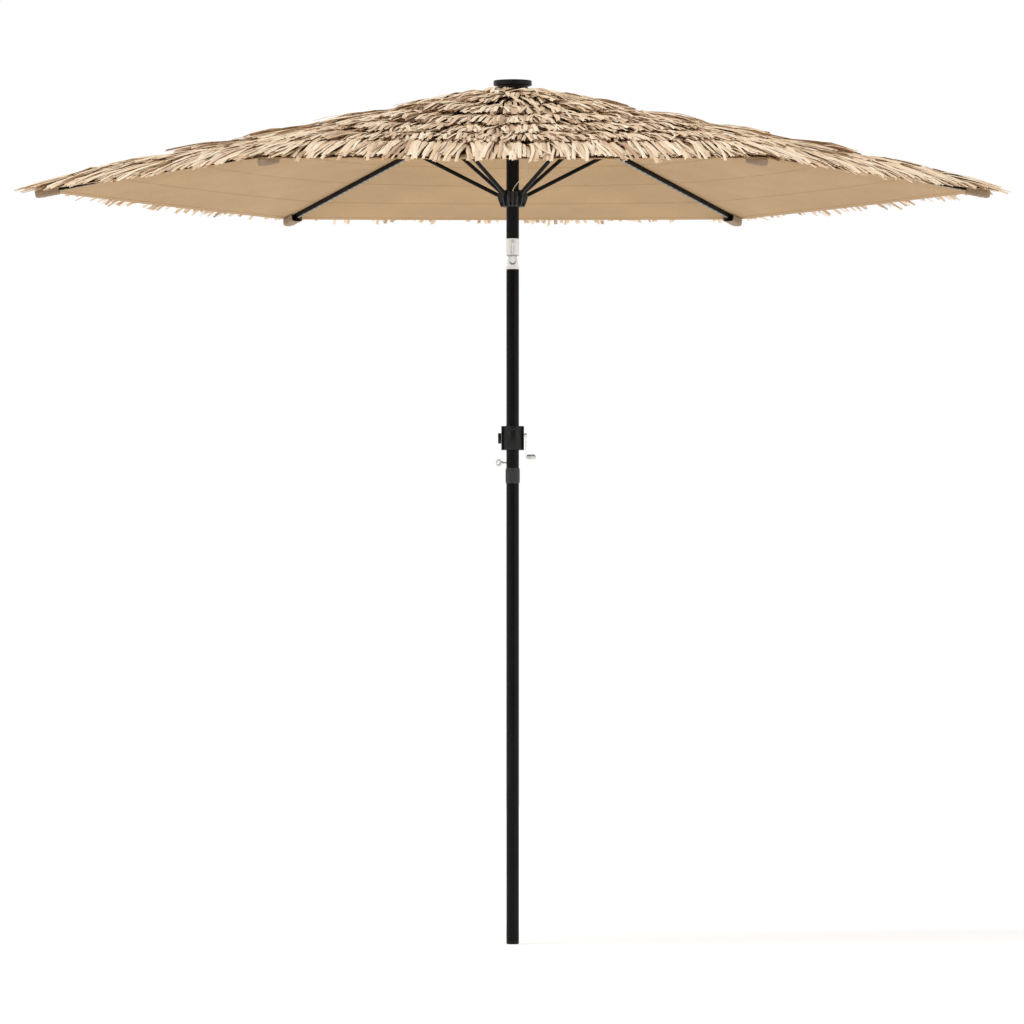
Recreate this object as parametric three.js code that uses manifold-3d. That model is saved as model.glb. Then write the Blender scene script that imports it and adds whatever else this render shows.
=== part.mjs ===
// A crank-and-tilt garden parasol with six ribs and a thatched canopy.
// Millimetres, +Z up. The origin is the centre of the pole's foot.
// Rib 1 points along +X; the tilt hinge turns about Y.

import * as THREE from 'three';
import { mergeVertices } from 'three/addons/utils/BufferGeometryUtils.js';
import Module from 'manifold-3d';

const wasm = await Module();
wasm.setup();

// ---- Driving dimensions ------------------------------------------------------------------

const CLEARANCE = 0.3;             // gap between touching pieces
const THROUGH = 30;                // reach of a cutter that passes right through a piece
const RIB_COUNT = 6;
const SECTOR = (2 * Math.PI) / RIB_COUNT;

// Pole
const POLE_RADIUS = 19;
const POLE_BORE = 18;
const FOOT_PLUG_TOP = 9;
const FOOT_PLUG_SPIGOT_TOP = 34;
const POLE_JOINT_Z = 1400;
const TILT_BASE_Z = 2018.7;
const TILT_TOP_Z = 2110.7;
const MAST_TOP_Z = 2515;

// Pole coupling
const COUPLING_HEIGHT = 46;
const COUPLING_RADIUS = 21.5;
const COUPLING_END_RADIUS = 20.2;
const COUPLING_TAPER = 5;
const FERRULE_RADIUS = 17.7;
const FERRULE_WALL = 2.1;
const FERRULE_HALF = 70;

// Lock screw
const LOCK_SCREW_Z = 1439;
const LOCK_SCREW_RADIUS = 3;
const LOCK_SCREW_COLLAR_RADIUS = 5;
const LOCK_SCREW_WING = { x: -42, width: 16, height: 22, half: 1.8 };

// Crank
const CRANK_Z = 1522.5;
const CRANK_THROW = 66.5;
const CRANK_SHAFT_RADIUS = 4;
const CRANK_SHAFT_HOLE = 4.5;
const CRANK_BAR_WIDTH = 8;
const CRANK_BAR = { low: 38, high: 41.6 };
const SPOOL_RADIUS = 8.575;
const SPOOL_FLANGE_RADIUS = 10.2;
const BRAKE_RADIUS = 11;
const HOUSING_BASE_Z = 1477;
const HOUSING_HEIGHT = 71.5;
const HOUSING_HALF_WIDTH = 34;
const HOUSING_RADIUS = 29;
const HOUSING_EAR_HALF_DEPTH = 16;
const HOUSING_WALL = 3;
const HOUSING_EDGE = 3;            // bevel around the top and the bottom
const HOUSING_CAP_Z = 1512;
const HOUSING_CAP_RADIUS = 15.8;
const HOUSING_CAP_DEPTH = 9.5;

// Tilt joint
const TILT_PIVOT_Z = 2042;
const TILT_RADIUS = 19.5;
const TILT_EAR_RADIUS = 15.8;
const TILT_SLOT_HALF = 11;
const TILT_SLOT_BASE_Z = 2026.5;
const TILT_BARREL_BASE_Z = 2062;
const TILT_TONGUE_RADIUS = 13;
const TILT_PLUG_BASE_Z = 1992;
const TILT_PLUG_TOP_Z = 2140;
const TILT_PIN_RADIUS = 4.5;
const TILT_PIN_HEAD_RADIUS = 8;
const TILT_PIN_SHANK_HALF = 15.9;
const TILT_BUTTON_Z = 2088;
const TILT_BUTTON_WIDTH = 12;
const TILT_BUTTON_HEIGHT = 36;
const CORD_BORE_RADIUS = 5;

// Ribs and struts, as positions in the plane of one rib (radius, height)
const RIB_PIVOT = { r: 30, z: 2522.15 };
const RIB_SLOPE = THREE.MathUtils.degToRad(11.03);
const RIB_WIDTH = 12;
const RIB_HEIGHT = 14.5;
const RIB_WALL = 0.8;
const RIB_EYE_RADIUS = 6.5;
const RIB_TUBE_START = 14;
const RIB_END = 1402;
const BRACKET_S = 397.1;           // along the rib from its pivot
const BRACKET_DROP = 16;           // below the rib's centre line
const STRUT_PIN = { r: 36, z: 2237.2 };
const STRUT_RADIUS = 6;
const STRUT_BORE = 5;
const STRUT_PIN_HOLE = 2.9;
const STRUT_NECK_HALF = 3.2;
const BRACKET_PIN_RADIUS = 2.5;

// Crown
const CROWN_RING_WIRE = 1.9;
const CROWN_RADIUS = 40;
const CROWN_BASE_Z = 2508;
const CROWN_TOP_Z = 2526.8;
const CROWN_SKIRT_Z = 2488;
const CROWN_SKIRT_RADIUS = 22.4;
const CROWN_SLOT_START = 22.8;
const CROWN_CAP_RADIUS = 38.5;
const CROWN_CAP_Z = 2529.2;
const FINIAL_STEM_RADIUS = 6;
const PULLEY = { x: 6, z: 2484, radius: 10, half: 3, bore: 2.3, pin: 2, pinHalf: 18.6 };

// Finial with its solar lamp
const FINIAL_RADIUS = 57.5;
const FINIAL_BODY_RADIUS = 46.5;
const FINIAL_DISC_Z = 2569.5;
const FINIAL_TOP_Z = 2585;
const SOLAR_RADIUS = 51.1;
const SWITCH_RADIUS = 3.5;
const SWITCH_Y = 51;

// Canopy: heights over the rib centre line, as functions of the distance to the tip
const CANOPY_INNER = 46;
const CANOPY_HEM = 1431;
const CANOPY_FRINGE = 1465;
const FABRIC_LIFT = 8.4;
const SKIN = 1.2;
const POCKET_START = 1355;
const POCKET_END = 1427;
const POCKET_HALF_WIDTH = 17;

// Runner
const RUNNER_BORE = 21.5;
const RUNNER_RADIUS = 28.5;
const RUNNER_BASE_Z = 2206;
const RUNNER_TOP_Z = 2250;
const RUNNER_FORK_HALF = 10.5;
const RUNNER_BOLT = { r: 31, z: 2213, radius: 4, half: 12.6 };
const STRUT_SLOT_HALF = 6.6;

// Lift cord: from the slot in the mast down to the runner
const CORD_SLOT_Z = 2450;
const CORD_RADIUS = 1.25;
const CORD_ROUTE = [
  [17.5, 0, 2452], [20.6, -1.8, 2451], [22, -6, 2445], [25, -10.3, 2434], [31, -12.6, 2418],
  [36.5, -13.6, 2399], [40.3, -14, 2379], [42.2, -14.5, 2358], [41.6, -15.6, 2336],
  [38.8, -17.2, 2315], [33.5, -19.4, 2300], [26.5, -22, 2290], [19.5, -24.2, 2282], [12.5, -26, 2273.5],
  [6.5, -26.8, 2265.5], [2, -27, 2257.5], [0, -27, 2250.4],
];

// ---- Materials ---------------------------------------------------------------------------

function material(color, roughness, metalness) {
  return new THREE.MeshStandardMaterial({ color, roughness, metalness });
}

const BLACK_STEEL = material(0x202221, 0.42, 0.35);
const DARK_PLASTIC = material(0x3a3b3b, 0.5, 0.0);
const BLACK_PLASTIC = material(0x181a19, 0.45, 0.0);
const CAST_ALUMINIUM = material(0xdcdcd9, 0.35, 0.6);
const CHROME = material(0xe6e6e6, 0.15, 1.0);
const LIGHT_PLASTIC = material(0xe8e8e6, 0.4, 0.0);
const SOLAR_GLASS = material(0x10151c, 0.12, 0.0);
const THATCH = material(0xbfa58a, 0.85, 0.0);
const POCKET_FABRIC = material(0x9d8066, 0.8, 0.0);
const CORD = material(0xd8cfc0, 0.6, 0.0);

// ---- Shape helpers -----------------------------------------------------------------------

// A turned solid about +Z; the profile of [radius, height] runs counter-clockwise.
function turned(profile, segments = 20) {
  const points = profile.map(([r, z]) => new THREE.Vector2(r, z));
  return new THREE.LatheGeometry(points, segments).rotateX(Math.PI / 2);
}

function tube(inner, outer, low, high, segments = 20) {
  const section = [[inner, low], [outer, low], [outer, high], [inner, high], [inner, low]];
  return turned(section, segments);
}

function rod(radius, low, high, segments = 16) {
  return turned([[0, low], [radius, low], [radius, high], [0, high]], segments);
}

function block(x0, x1, y0, y1, z0, z1) {
  const box = new THREE.BoxGeometry(x1 - x0, y1 - y0, z1 - z0);
  return box.translate((x0 + x1) / 2, (y0 + y1) / 2, (z0 + z1) / 2);
}

// Turn a shape that stands along +Z so that it lies along +X or +Y.
const alongX = (geometry) => geometry.rotateY(Math.PI / 2);
const alongY = (geometry) => geometry.rotateX(-Math.PI / 2);

// A flat outline in X and Z, extruded along Y from low to high.
function slabXZ(shape, low, high, steps = 6) {
  const options = { depth: high - low, bevelEnabled: false, curveSegments: steps };
  return new THREE.ExtrudeGeometry(shape, options).rotateX(Math.PI / 2).translate(0, high, 0);
}

function polygon(points) {
  return new THREE.Shape(points.map(([x, y]) => new THREE.Vector2(x, y)));
}

// A slot outline with round ends, standing along its second axis.
function stadium(width, height) {
  const r = width / 2;
  const reach = height / 2 - r;
  const shape = new THREE.Shape();
  shape.absarc(0, reach, r, 0, Math.PI, false);
  shape.absarc(0, -reach, r, Math.PI, 2 * Math.PI, false);
  return shape;
}

function solid(geometry) {
  const bare = geometry.index ? geometry.clone() : geometry;
  bare.deleteAttribute('normal');
  bare.deleteAttribute('uv');
  const merged = mergeVertices(bare, 1e-4);
  const mesh = new wasm.Mesh({
    numProp: 3,
    vertProperties: new Float32Array(merged.attributes.position.array),
    triVerts: new Uint32Array(merged.index.array),
  });
  return new wasm.Manifold(mesh);
}

function shell(manifold) {
  const mesh = manifold.getMesh();
  const geometry = new THREE.BufferGeometry();
  const positions = new THREE.BufferAttribute(new Float32Array(mesh.vertProperties), 3);
  geometry.setAttribute('position', positions);
  geometry.setIndex(Array.from(mesh.triVerts));
  geometry.computeVertexNormals();
  return geometry;
}

// Join the first list of geometries and cut away the second.
function carve(joined, removed = []) {
  let body = joined.map(solid).reduce((whole, next) => whole.add(next));
  for (const cut of removed) body = body.subtract(solid(cut));
  return shell(body);
}

function piece(name, geometry, finish, parent) {
  const mesh = new THREE.Mesh(geometry, finish);
  mesh.name = name;
  parent.add(mesh);
  return mesh;
}

const parasol = new THREE.Group();

// ---- Pole --------------------------------------------------------------------------------

function addLowerPole() {
  const spigot = POLE_BORE - CLEARANCE;
  const plug = [[0, 0], [16.5, 0], [POLE_RADIUS, 3], [POLE_RADIUS, FOOT_PLUG_TOP],
    [spigot, FOOT_PLUG_TOP], [spigot, FOOT_PLUG_SPIGOT_TOP], [0, FOOT_PLUG_SPIGOT_TOP]];
  piece('foot_plug', turned(plug), BLACK_PLASTIC, parasol);
  const bottom = FOOT_PLUG_TOP + CLEARANCE;
  piece('lower_pole', tube(POLE_BORE, POLE_RADIUS, bottom, POLE_JOINT_Z), BLACK_STEEL, parasol);
}

function addCoupling() {
  const low = POLE_JOINT_Z - COUPLING_HEIGHT / 2;
  const high = POLE_JOINT_Z + COUPLING_HEIGHT / 2;
  const inner = POLE_RADIUS + CLEARANCE;
  const collar = [[inner, low], [COUPLING_END_RADIUS, low], [COUPLING_RADIUS, low + COUPLING_TAPER],
    [COUPLING_RADIUS, high - COUPLING_TAPER], [COUPLING_END_RADIUS, high], [inner, high], [inner, low]];
  piece('pole_coupling', turned(collar, 24), DARK_PLASTIC, parasol);
  const ferrule = tube(FERRULE_RADIUS - FERRULE_WALL, FERRULE_RADIUS,
    POLE_JOINT_Z - FERRULE_HALF, POLE_JOINT_Z + FERRULE_HALF);
  piece('pole_ferrule', ferrule, BLACK_STEEL, parasol);
}

function addCrankPole() {
  const wall = tube(POLE_BORE, POLE_RADIUS, POLE_JOINT_Z + CLEARANCE, TILT_BASE_Z - CLEARANCE);
  const shaftHole = alongX(rod(CRANK_SHAFT_HOLE, -THROUGH, THROUGH, 12)).translate(0, 0, CRANK_Z);
  const screwHole = alongX(rod(LOCK_SCREW_RADIUS + CLEARANCE, -THROUGH, 0, 12));
  screwHole.translate(0, 0, LOCK_SCREW_Z);
  piece('crank_pole', carve([wall], [shaftHole, screwHole]), BLACK_STEEL, parasol);
}

function addLockScrew() {
  const collar = LOCK_SCREW_COLLAR_RADIUS;
  const stem = alongX(turned([[0, -34], [collar, -34], [collar, -29], [LOCK_SCREW_RADIUS, -28],
    [LOCK_SCREW_RADIUS, -18.2], [0, -18.2]], 12)).translate(0, 0, LOCK_SCREW_Z);
  const { x, width, height, half } = LOCK_SCREW_WING;
  const wing = slabXZ(stadium(width, height), -half, half).translate(x, 0, LOCK_SCREW_Z);
  piece('lock_screw', carve([stem, wing]), CHROME, parasol);
}

// ---- Crank -------------------------------------------------------------------------------

// The housing's plan: a round drum on the pole, with a flat-faced ear to each side.
function housingPlan(inset) {
  const drum = HOUSING_RADIUS - inset;
  const x = HOUSING_HALF_WIDTH - inset;
  const y = HOUSING_EAR_HALF_DEPTH - inset;
  const start = Math.asin(y / drum);
  const shape = new THREE.Shape();
  shape.moveTo(x, -y);
  shape.lineTo(x, y);
  shape.absarc(0, 0, drum, start, Math.PI - start, false);
  shape.lineTo(-x, y);
  shape.lineTo(-x, -y);
  shape.absarc(0, 0, drum, Math.PI + start, 2 * Math.PI - start, false);
  shape.closePath();
  return shape;
}

function housingBlock(inset, bevel) {
  const depth = HOUSING_HEIGHT - 2 * inset - 2 * bevel;
  const options = {
    depth,
    bevelEnabled: bevel > 0,
    bevelSize: bevel,
    bevelThickness: bevel,
    bevelOffset: -bevel,
    bevelSegments: 1,
    curveSegments: 8,
  };
  const geometry = new THREE.ExtrudeGeometry(housingPlan(inset), options);
  return geometry.translate(0, 0, HOUSING_BASE_Z + inset + bevel);
}

function addHousing() {
  const low = HOUSING_BASE_Z - THROUGH;
  const high = HOUSING_BASE_Z + HOUSING_HEIGHT + THROUGH;
  const wide = HOUSING_HALF_WIDTH + THROUGH;
  const poleBore = rod(POLE_RADIUS + CLEARANCE, low, high, 24);
  const shaftHole = alongX(rod(CRANK_SHAFT_HOLE, 0, wide, 12)).translate(0, 0, CRANK_Z);
  const cuts = [housingBlock(HOUSING_WALL, 0), poleBore, shaftHole];
  const half = CLEARANCE / 2;
  const behind = block(-wide, wide, -half, wide, low, high);
  const ahead = block(-wide, wide, -wide, half, low, high);
  const outside = housingBlock(0, HOUSING_EDGE);
  piece('crank_housing_front', carve([outside], [...cuts, behind]), DARK_PLASTIC, parasol);
  piece('crank_housing_rear', carve([outside], [...cuts, ahead]), DARK_PLASTIC, parasol);
  const back = HOUSING_HALF_WIDTH + CLEARANCE;
  const face = back + HOUSING_CAP_DEPTH;
  const r = HOUSING_CAP_RADIUS;
  const profile = [[0, back], [r, back], [r, face - 2], [r - 2, face], [6, face], [5, face - 1.5],
    [0, face - 1.5]];
  const cap = turned(profile).rotateY(-Math.PI / 2).translate(0, 0, HOUSING_CAP_Z);
  piece('crank_housing_cap', cap, BLACK_PLASTIC, parasol);
}

function addCrank() {
  const axis = new THREE.Group();
  axis.position.set(0, 0, CRANK_Z);
  parasol.add(axis);
  const s = CRANK_SHAFT_RADIUS;
  const f = SPOOL_FLANGE_RADIUS;
  const spool = [[0, -30], [s, -30], [s, -12.5], [f, -12.5], [f, -11], [SPOOL_RADIUS, -11],
    [SPOOL_RADIUS, 11], [f, 11], [f, 12.5], [s, 12.5], [s, 35.2], [0, 35.2]];
  piece('crank_spool', alongX(turned(spool)), CHROME, axis);
  piece('crank_brake', alongX(tube(s + CLEARANCE, BRAKE_RADIUS, -30.3, -21)), BLACK_PLASTIC, axis);
  const { low, high } = CRANK_BAR;
  const hub = alongX(rod(4.8, 35.5, 42.8));
  const bar = slabXZ(stadium(CRANK_BAR_WIDTH, CRANK_THROW + CRANK_BAR_WIDTH), low, high);
  bar.rotateZ(-Math.PI / 2).translate(0, 0, -CRANK_THROW / 2);
  const pin = turned([[0, low], [2.4, low], [2.4, 67.6], [4.6, 67.6], [4.2, 69], [0, 69]], 16);
  const gripPin = alongX(pin).translate(0, 0, -CRANK_THROW);
  piece('crank_arm', carve([hub, bar, gripPin]), CHROME, axis);
  const grip = [[2.7, 42.2], [5.6, 42.2], [6.6, 45], [7, 54], [6.8, 64], [5.8, 67.3], [2.7, 67.3],
    [2.7, 42.2]];
  const sleeve = alongX(turned(grip)).translate(0, 0, -CRANK_THROW);
  piece('crank_grip', sleeve, LIGHT_PLASTIC, axis);
}

// ---- Tilt joint --------------------------------------------------------------------------

// A rod along Y through the tilt pivot.
function acrossTilt(radius, low, high, segments) {
  return alongY(rod(radius, low, high, segments)).translate(0, 0, TILT_PIVOT_Z);
}

function addTiltFork() {
  const plug = rod(POLE_BORE - CLEARANCE, TILT_PLUG_BASE_Z, TILT_BASE_Z + 1);
  const barrel = rod(TILT_RADIUS, TILT_BASE_Z, TILT_PIVOT_Z + TILT_EAR_RADIUS, 24);
  const slotTop = TILT_PIVOT_Z + THROUGH;
  const keepLow = block(-THROUGH, THROUGH, -THROUGH, THROUGH, TILT_PLUG_BASE_Z - 1, TILT_PIVOT_Z);
  const keepEar = acrossTilt(TILT_EAR_RADIUS, -THROUGH, THROUGH, 24);
  const cuts = [
    block(-THROUGH, THROUGH, -TILT_SLOT_HALF, TILT_SLOT_HALF, TILT_SLOT_BASE_Z, slotTop),
    acrossTilt(TILT_PIN_RADIUS + CLEARANCE, -THROUGH, THROUGH, 16),
    rod(CORD_BORE_RADIUS, TILT_PLUG_BASE_Z - 1, TILT_PIVOT_Z, 12),
  ];
  const recess = TILT_PIN_SHANK_HALF - CLEARANCE;
  cuts.push(acrossTilt(TILT_PIN_HEAD_RADIUS + 1, -THROUGH, -recess, 16));
  cuts.push(acrossTilt(TILT_PIN_HEAD_RADIUS + 1, recess, THROUGH, 16));
  const kept = solid(keepLow).add(solid(keepEar));
  let fork = solid(plug).add(solid(barrel)).intersect(kept);
  for (const cut of cuts) fork = fork.subtract(solid(cut));
  piece('tilt_fork', shell(fork), CAST_ALUMINIUM, parasol);
}

function addTiltPin() {
  const shank = TILT_PIN_RADIUS;
  const head = TILT_PIN_HEAD_RADIUS;
  const inside = TILT_PIN_SHANK_HALF;
  const end = inside + 2.1;
  const pin = [[0, -end], [head - 1.5, -end], [head, -end + 1], [head, -inside], [shank, -inside],
    [shank, inside], [head, inside], [head, end - 1], [head - 1.5, end], [0, end]];
  piece('tilt_pin', alongY(turned(pin)).translate(0, 0, TILT_PIVOT_Z), CHROME, parasol);
}

function addTiltHead() {
  const tongueHalf = TILT_SLOT_HALF - 0.4;
  const r = TILT_TONGUE_RADIUS;
  const rim = TILT_TOP_Z - 3;
  const barrel = turned([[0, TILT_BARREL_BASE_Z], [TILT_RADIUS - 1, TILT_BARREL_BASE_Z],
    [TILT_RADIUS, TILT_BARREL_BASE_Z + 1], [TILT_RADIUS, rim - 0.5], [TILT_RADIUS - 0.6, rim],
    [TILT_RADIUS - 0.6, TILT_TOP_Z], [0, TILT_TOP_Z]], 24);
  const plug = rod(POLE_BORE - CLEARANCE, TILT_TOP_Z - 1, TILT_PLUG_TOP_Z);
  const tongue = block(-r, r, -tongueHalf, tongueHalf, TILT_PIVOT_Z, TILT_BARREL_BASE_Z + 1);
  const tongueEnd = acrossTilt(r, -tongueHalf, tongueHalf, 20);
  const pinHole = acrossTilt(TILT_PIN_RADIUS + CLEARANCE, -THROUGH, THROUGH, 16);
  const gap = 2 * CLEARANCE;
  const pocket = slabXZ(stadium(TILT_BUTTON_WIDTH + gap, TILT_BUTTON_HEIGHT + gap), -THROUGH, -8);
  pocket.translate(0, 0, TILT_BUTTON_Z);
  const cordBore = rod(CORD_BORE_RADIUS, TILT_BARREL_BASE_Z + 8, TILT_PLUG_TOP_Z + 10, 12);
  const head = carve([barrel, plug, tongue, tongueEnd], [pinHole, pocket, cordBore]);
  piece('tilt_head', head, CAST_ALUMINIUM, parasol);
  const button = slabXZ(stadium(TILT_BUTTON_WIDTH, TILT_BUTTON_HEIGHT), -20.6, -13);
  piece('tilt_button', button.translate(0, 0, TILT_BUTTON_Z), LIGHT_PLASTIC, parasol);
}

// ---- Mast, crown and finial --------------------------------------------------------------

function addMast() {
  const wall = tube(POLE_BORE, POLE_RADIUS, TILT_TOP_Z + CLEARANCE, MAST_TOP_Z);
  const cordSlot = slabXZ(stadium(8, 26), 0, THROUGH).rotateZ(-Math.PI / 2);
  cordSlot.translate(0, 0, CORD_SLOT_Z);
  const pinHole = alongY(rod(PULLEY.bore, -THROUGH, THROUGH, 12)).translate(PULLEY.x, 0, PULLEY.z);
  piece('mast_pole', carve([wall], [cordSlot, pinHole]), BLACK_STEEL, parasol);
}

function addPulley() {
  const { x, z, radius, half, bore, pin, pinHalf } = PULLEY;
  const groove = SPOOL_RADIUS - 1;
  const wheel = turned([[bore, -half], [radius, -half], [radius, -half + 1], [groove, -0.6],
    [groove, 0.6], [radius, half - 1], [radius, half], [bore, half], [bore, -half]]);
  piece('cord_pulley', alongY(wheel).translate(x, 0, z), LIGHT_PLASTIC, parasol);
  piece('pulley_pin', alongY(rod(pin, -pinHalf, pinHalf, 12)).translate(x, 0, z), CHROME, parasol);
}

function addCrown() {
  const flange = rod(CROWN_RADIUS, CROWN_BASE_Z, CROWN_TOP_Z, 24);
  const skirt = rod(CROWN_SKIRT_RADIUS, CROWN_SKIRT_Z, CROWN_BASE_Z + 1, 20);
  const mastBore = rod(POLE_RADIUS + CLEARANCE, CROWN_SKIRT_Z - 5, MAST_TOP_Z + CLEARANCE, 20);
  const stemHole = rod(FINIAL_STEM_RADIUS + CLEARANCE, MAST_TOP_Z - 5, CROWN_TOP_Z + 5, 16);
  const ringHole = new THREE.TorusGeometry(RIB_PIVOT.r, CROWN_RING_WIRE + 0.4, 6, 36);
  const cuts = [mastBore, stemHole, ringHole.translate(0, 0, RIB_PIVOT.z)];
  const half = RIB_WIDTH / 2 + 2 * CLEARANCE;
  for (let i = 0; i < RIB_COUNT; i++) {
    const slot = block(CROWN_SLOT_START, 50, -half, half, CROWN_BASE_Z - 5, CROWN_TOP_Z + 5);
    cuts.push(slot.rotateZ(i * SECTOR));
  }
  piece('crown_hub', carve([flange, skirt], cuts), BLACK_PLASTIC, parasol);
  const ring = new THREE.TorusGeometry(RIB_PIVOT.r, CROWN_RING_WIRE, 6, 36);
  piece('crown_ring', ring.translate(0, 0, RIB_PIVOT.z), CHROME, parasol);
  const bore = FINIAL_STEM_RADIUS + 2 * CLEARANCE;
  const cap = [[bore, CROWN_CAP_Z], [CROWN_CAP_RADIUS, CROWN_CAP_Z], [CROWN_CAP_RADIUS, 2531],
    [30, 2534.5], [bore, 2538], [bore, CROWN_CAP_Z]];
  piece('crown_cap', turned(cap), BLACK_PLASTIC, parasol);
}

function addFinial() {
  const stem = FINIAL_STEM_RADIUS;
  const bodyTop = FINIAL_DISC_Z - CLEARANCE;
  const body = [[0, 2519], [stem, 2519], [stem, 2540], [20, 2546], [44, 2558], [45, 2560],
    [FINIAL_BODY_RADIUS, bodyTop], [0, bodyTop]];
  piece('finial_base', turned(body, 28), BLACK_PLASTIC, parasol);
  const r = FINIAL_RADIUS;
  const rim = SOLAR_RADIUS + CLEARANCE;
  const floor = FINIAL_TOP_Z - 1.7;
  const disc = turned([[0, FINIAL_DISC_Z], [r - 3, FINIAL_DISC_Z], [r - 0.7, FINIAL_DISC_Z + 1.5],
    [r, FINIAL_DISC_Z + 4], [r, FINIAL_TOP_Z - 1], [r - 1, FINIAL_TOP_Z], [rim, FINIAL_TOP_Z],
    [rim, floor], [0, floor]], 28);
  const switchHole = rod(SWITCH_RADIUS + CLEARANCE, FINIAL_DISC_Z - 5, FINIAL_DISC_Z + 5.5, 12);
  const holed = carve([disc], [switchHole.translate(0, SWITCH_Y, 0)]);
  piece('finial_disc', holed, BLACK_PLASTIC, parasol);
  const panel = rod(SOLAR_RADIUS, floor + CLEARANCE, FINIAL_TOP_Z, 28);
  piece('solar_panel', panel, SOLAR_GLASS, parasol);
  const button = rod(SWITCH_RADIUS, FINIAL_DISC_Z - 2.7, FINIAL_DISC_Z + 3.5, 12);
  piece('light_switch', button.translate(0, SWITCH_Y, 0), LIGHT_PLASTIC, parasol);
}

// ---- Runner and lift cord ----------------------------------------------------------------

function addRunner() {
  const joined = [rod(RUNNER_RADIUS, RUNNER_BASE_Z, RUNNER_TOP_Z, 24)];
  const removed = [rod(RUNNER_BORE, RUNNER_BASE_Z - 5, RUNNER_TOP_Z + 5, 24)];
  const low = RUNNER_BASE_Z;
  const high = RUNNER_TOP_Z;
  const fork = polygon([[24, low], [34, low], [45, high - 18], [45, high - 4], [41, high], [24, high]]);
  const bolt = RUNNER_BOLT;
  for (let i = 0; i < RIB_COUNT; i++) {
    const turn = i * SECTOR;
    joined.push(slabXZ(fork, -RUNNER_FORK_HALF, RUNNER_FORK_HALF).rotateZ(turn));
    const bar = alongY(rod(bolt.radius, -bolt.half, bolt.half, 8)).translate(bolt.r, 0, bolt.z);
    joined.push(bar.rotateZ(turn));
    const slot = block(29, 60, -STRUT_SLOT_HALF, STRUT_SLOT_HALF, low - 5, high + 5);
    removed.push(slot.rotateZ(turn));
  }
  piece('runner_hub', carve(joined, removed), BLACK_PLASTIC, parasol);
  const collar = tube(RUNNER_BORE, 24.5, high + CLEARANCE, high + 7, 24);
  piece('runner_collar', collar, DARK_PLASTIC, parasol);
}

function addLiftCord() {
  const path = new THREE.CatmullRomCurve3(CORD_ROUTE.map(([x, y, z]) => new THREE.Vector3(x, y, z)));
  const section = new THREE.Shape();
  section.absarc(0, 0, CORD_RADIUS, 0, 2 * Math.PI, false);
  const options = { steps: 32, bevelEnabled: false, extrudePath: path, curveSegments: 4 };
  piece('lift_cord', new THREE.ExtrudeGeometry(section, options), CORD, parasol);
}

// ---- Ribs, struts and canopy -------------------------------------------------------------

// Rib shapes lie along +X from the pivot, with +Z away from the ground.
function ribGeometry() {
  const w = RIB_WIDTH / 2;
  const h = RIB_HEIGHT / 2;
  const corner = 2.5;
  const outline = (inset) => polygon([[-w + inset, -h + corner], [-w + corner, -h + inset],
    [w - corner, -h + inset], [w - inset, -h + corner], [w - inset, h - corner],
    [w - corner, h - inset], [-w + corner, h - inset], [-w + inset, h - corner]]);
  const section = outline(0);
  section.holes.push(outline(RIB_WALL));
  const length = RIB_END - RIB_TUBE_START;
  const hollow = new THREE.ExtrudeGeometry(section, { depth: length, bevelEnabled: false });
  hollow.rotateZ(Math.PI / 2).rotateY(Math.PI / 2).translate(RIB_TUBE_START, 0, 0);
  const half = w - 1.5;
  const eye = alongY(rod(RIB_EYE_RADIUS, -half, half, 14));
  const tang = block(0, 34, -half, half, -RIB_EYE_RADIUS + 0.2, RIB_EYE_RADIUS - 0.2);
  const pinHole = alongY(rod(CROWN_RING_WIRE + 0.7, -THROUGH, THROUGH, 12));
  return carve([hollow, eye, tang], [pinHole]);
}

function bracketGeometry() {
  const gap = RIB_WIDTH / 2 + CLEARANCE;
  const under = -RIB_HEIGHT / 2 - CLEARANCE;
  const web = under - 1.2;
  const cheek = polygon([[-14, web], [-5, -22.5], [5, -22.5], [14, web], [14, 3], [-14, 3]]);
  const plates = slabXZ(cheek, -gap - 1.5, gap + 1.5);
  const between = block(-20, 20, -gap, gap, -40, web);
  const ribSpace = block(-20, 20, -gap, gap, under, 20);
  const pin = alongY(rod(BRACKET_PIN_RADIUS, -gap - 2.6, gap + 2.6, 8));
  const channel = solid(plates).subtract(solid(between)).subtract(solid(ribSpace));
  return shell(channel.add(solid(pin.translate(0, 0, -BRACKET_DROP))));
}

function pocketGeometry() {
  const bend = POCKET_END - 16;
  const w = POCKET_HALF_WIDTH;
  const plan = new THREE.Shape();
  plan.moveTo(POCKET_START, -w);
  plan.lineTo(bend, -w);
  plan.quadraticCurveTo(POCKET_END, -w, POCKET_END, 0);
  plan.quadraticCurveTo(POCKET_END, w, bend, w);
  plan.lineTo(POCKET_START, w);
  const options = { depth: 19, bevelEnabled: true, bevelSize: 2, bevelThickness: 2, bevelOffset: -2,
    bevelSegments: 1, curveSegments: 4 };
  const body = new THREE.ExtrudeGeometry(plan, options).translate(0, 0, -15.3);
  const wide = RIB_WIDTH / 2 + CLEARANCE;
  const tall = RIB_HEIGHT / 2 + CLEARANCE;
  const ribSpace = block(POCKET_START - 10, RIB_END + 1, -wide, wide, -tall, tall + 5);
  return carve([body], [ribSpace]);
}

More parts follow.
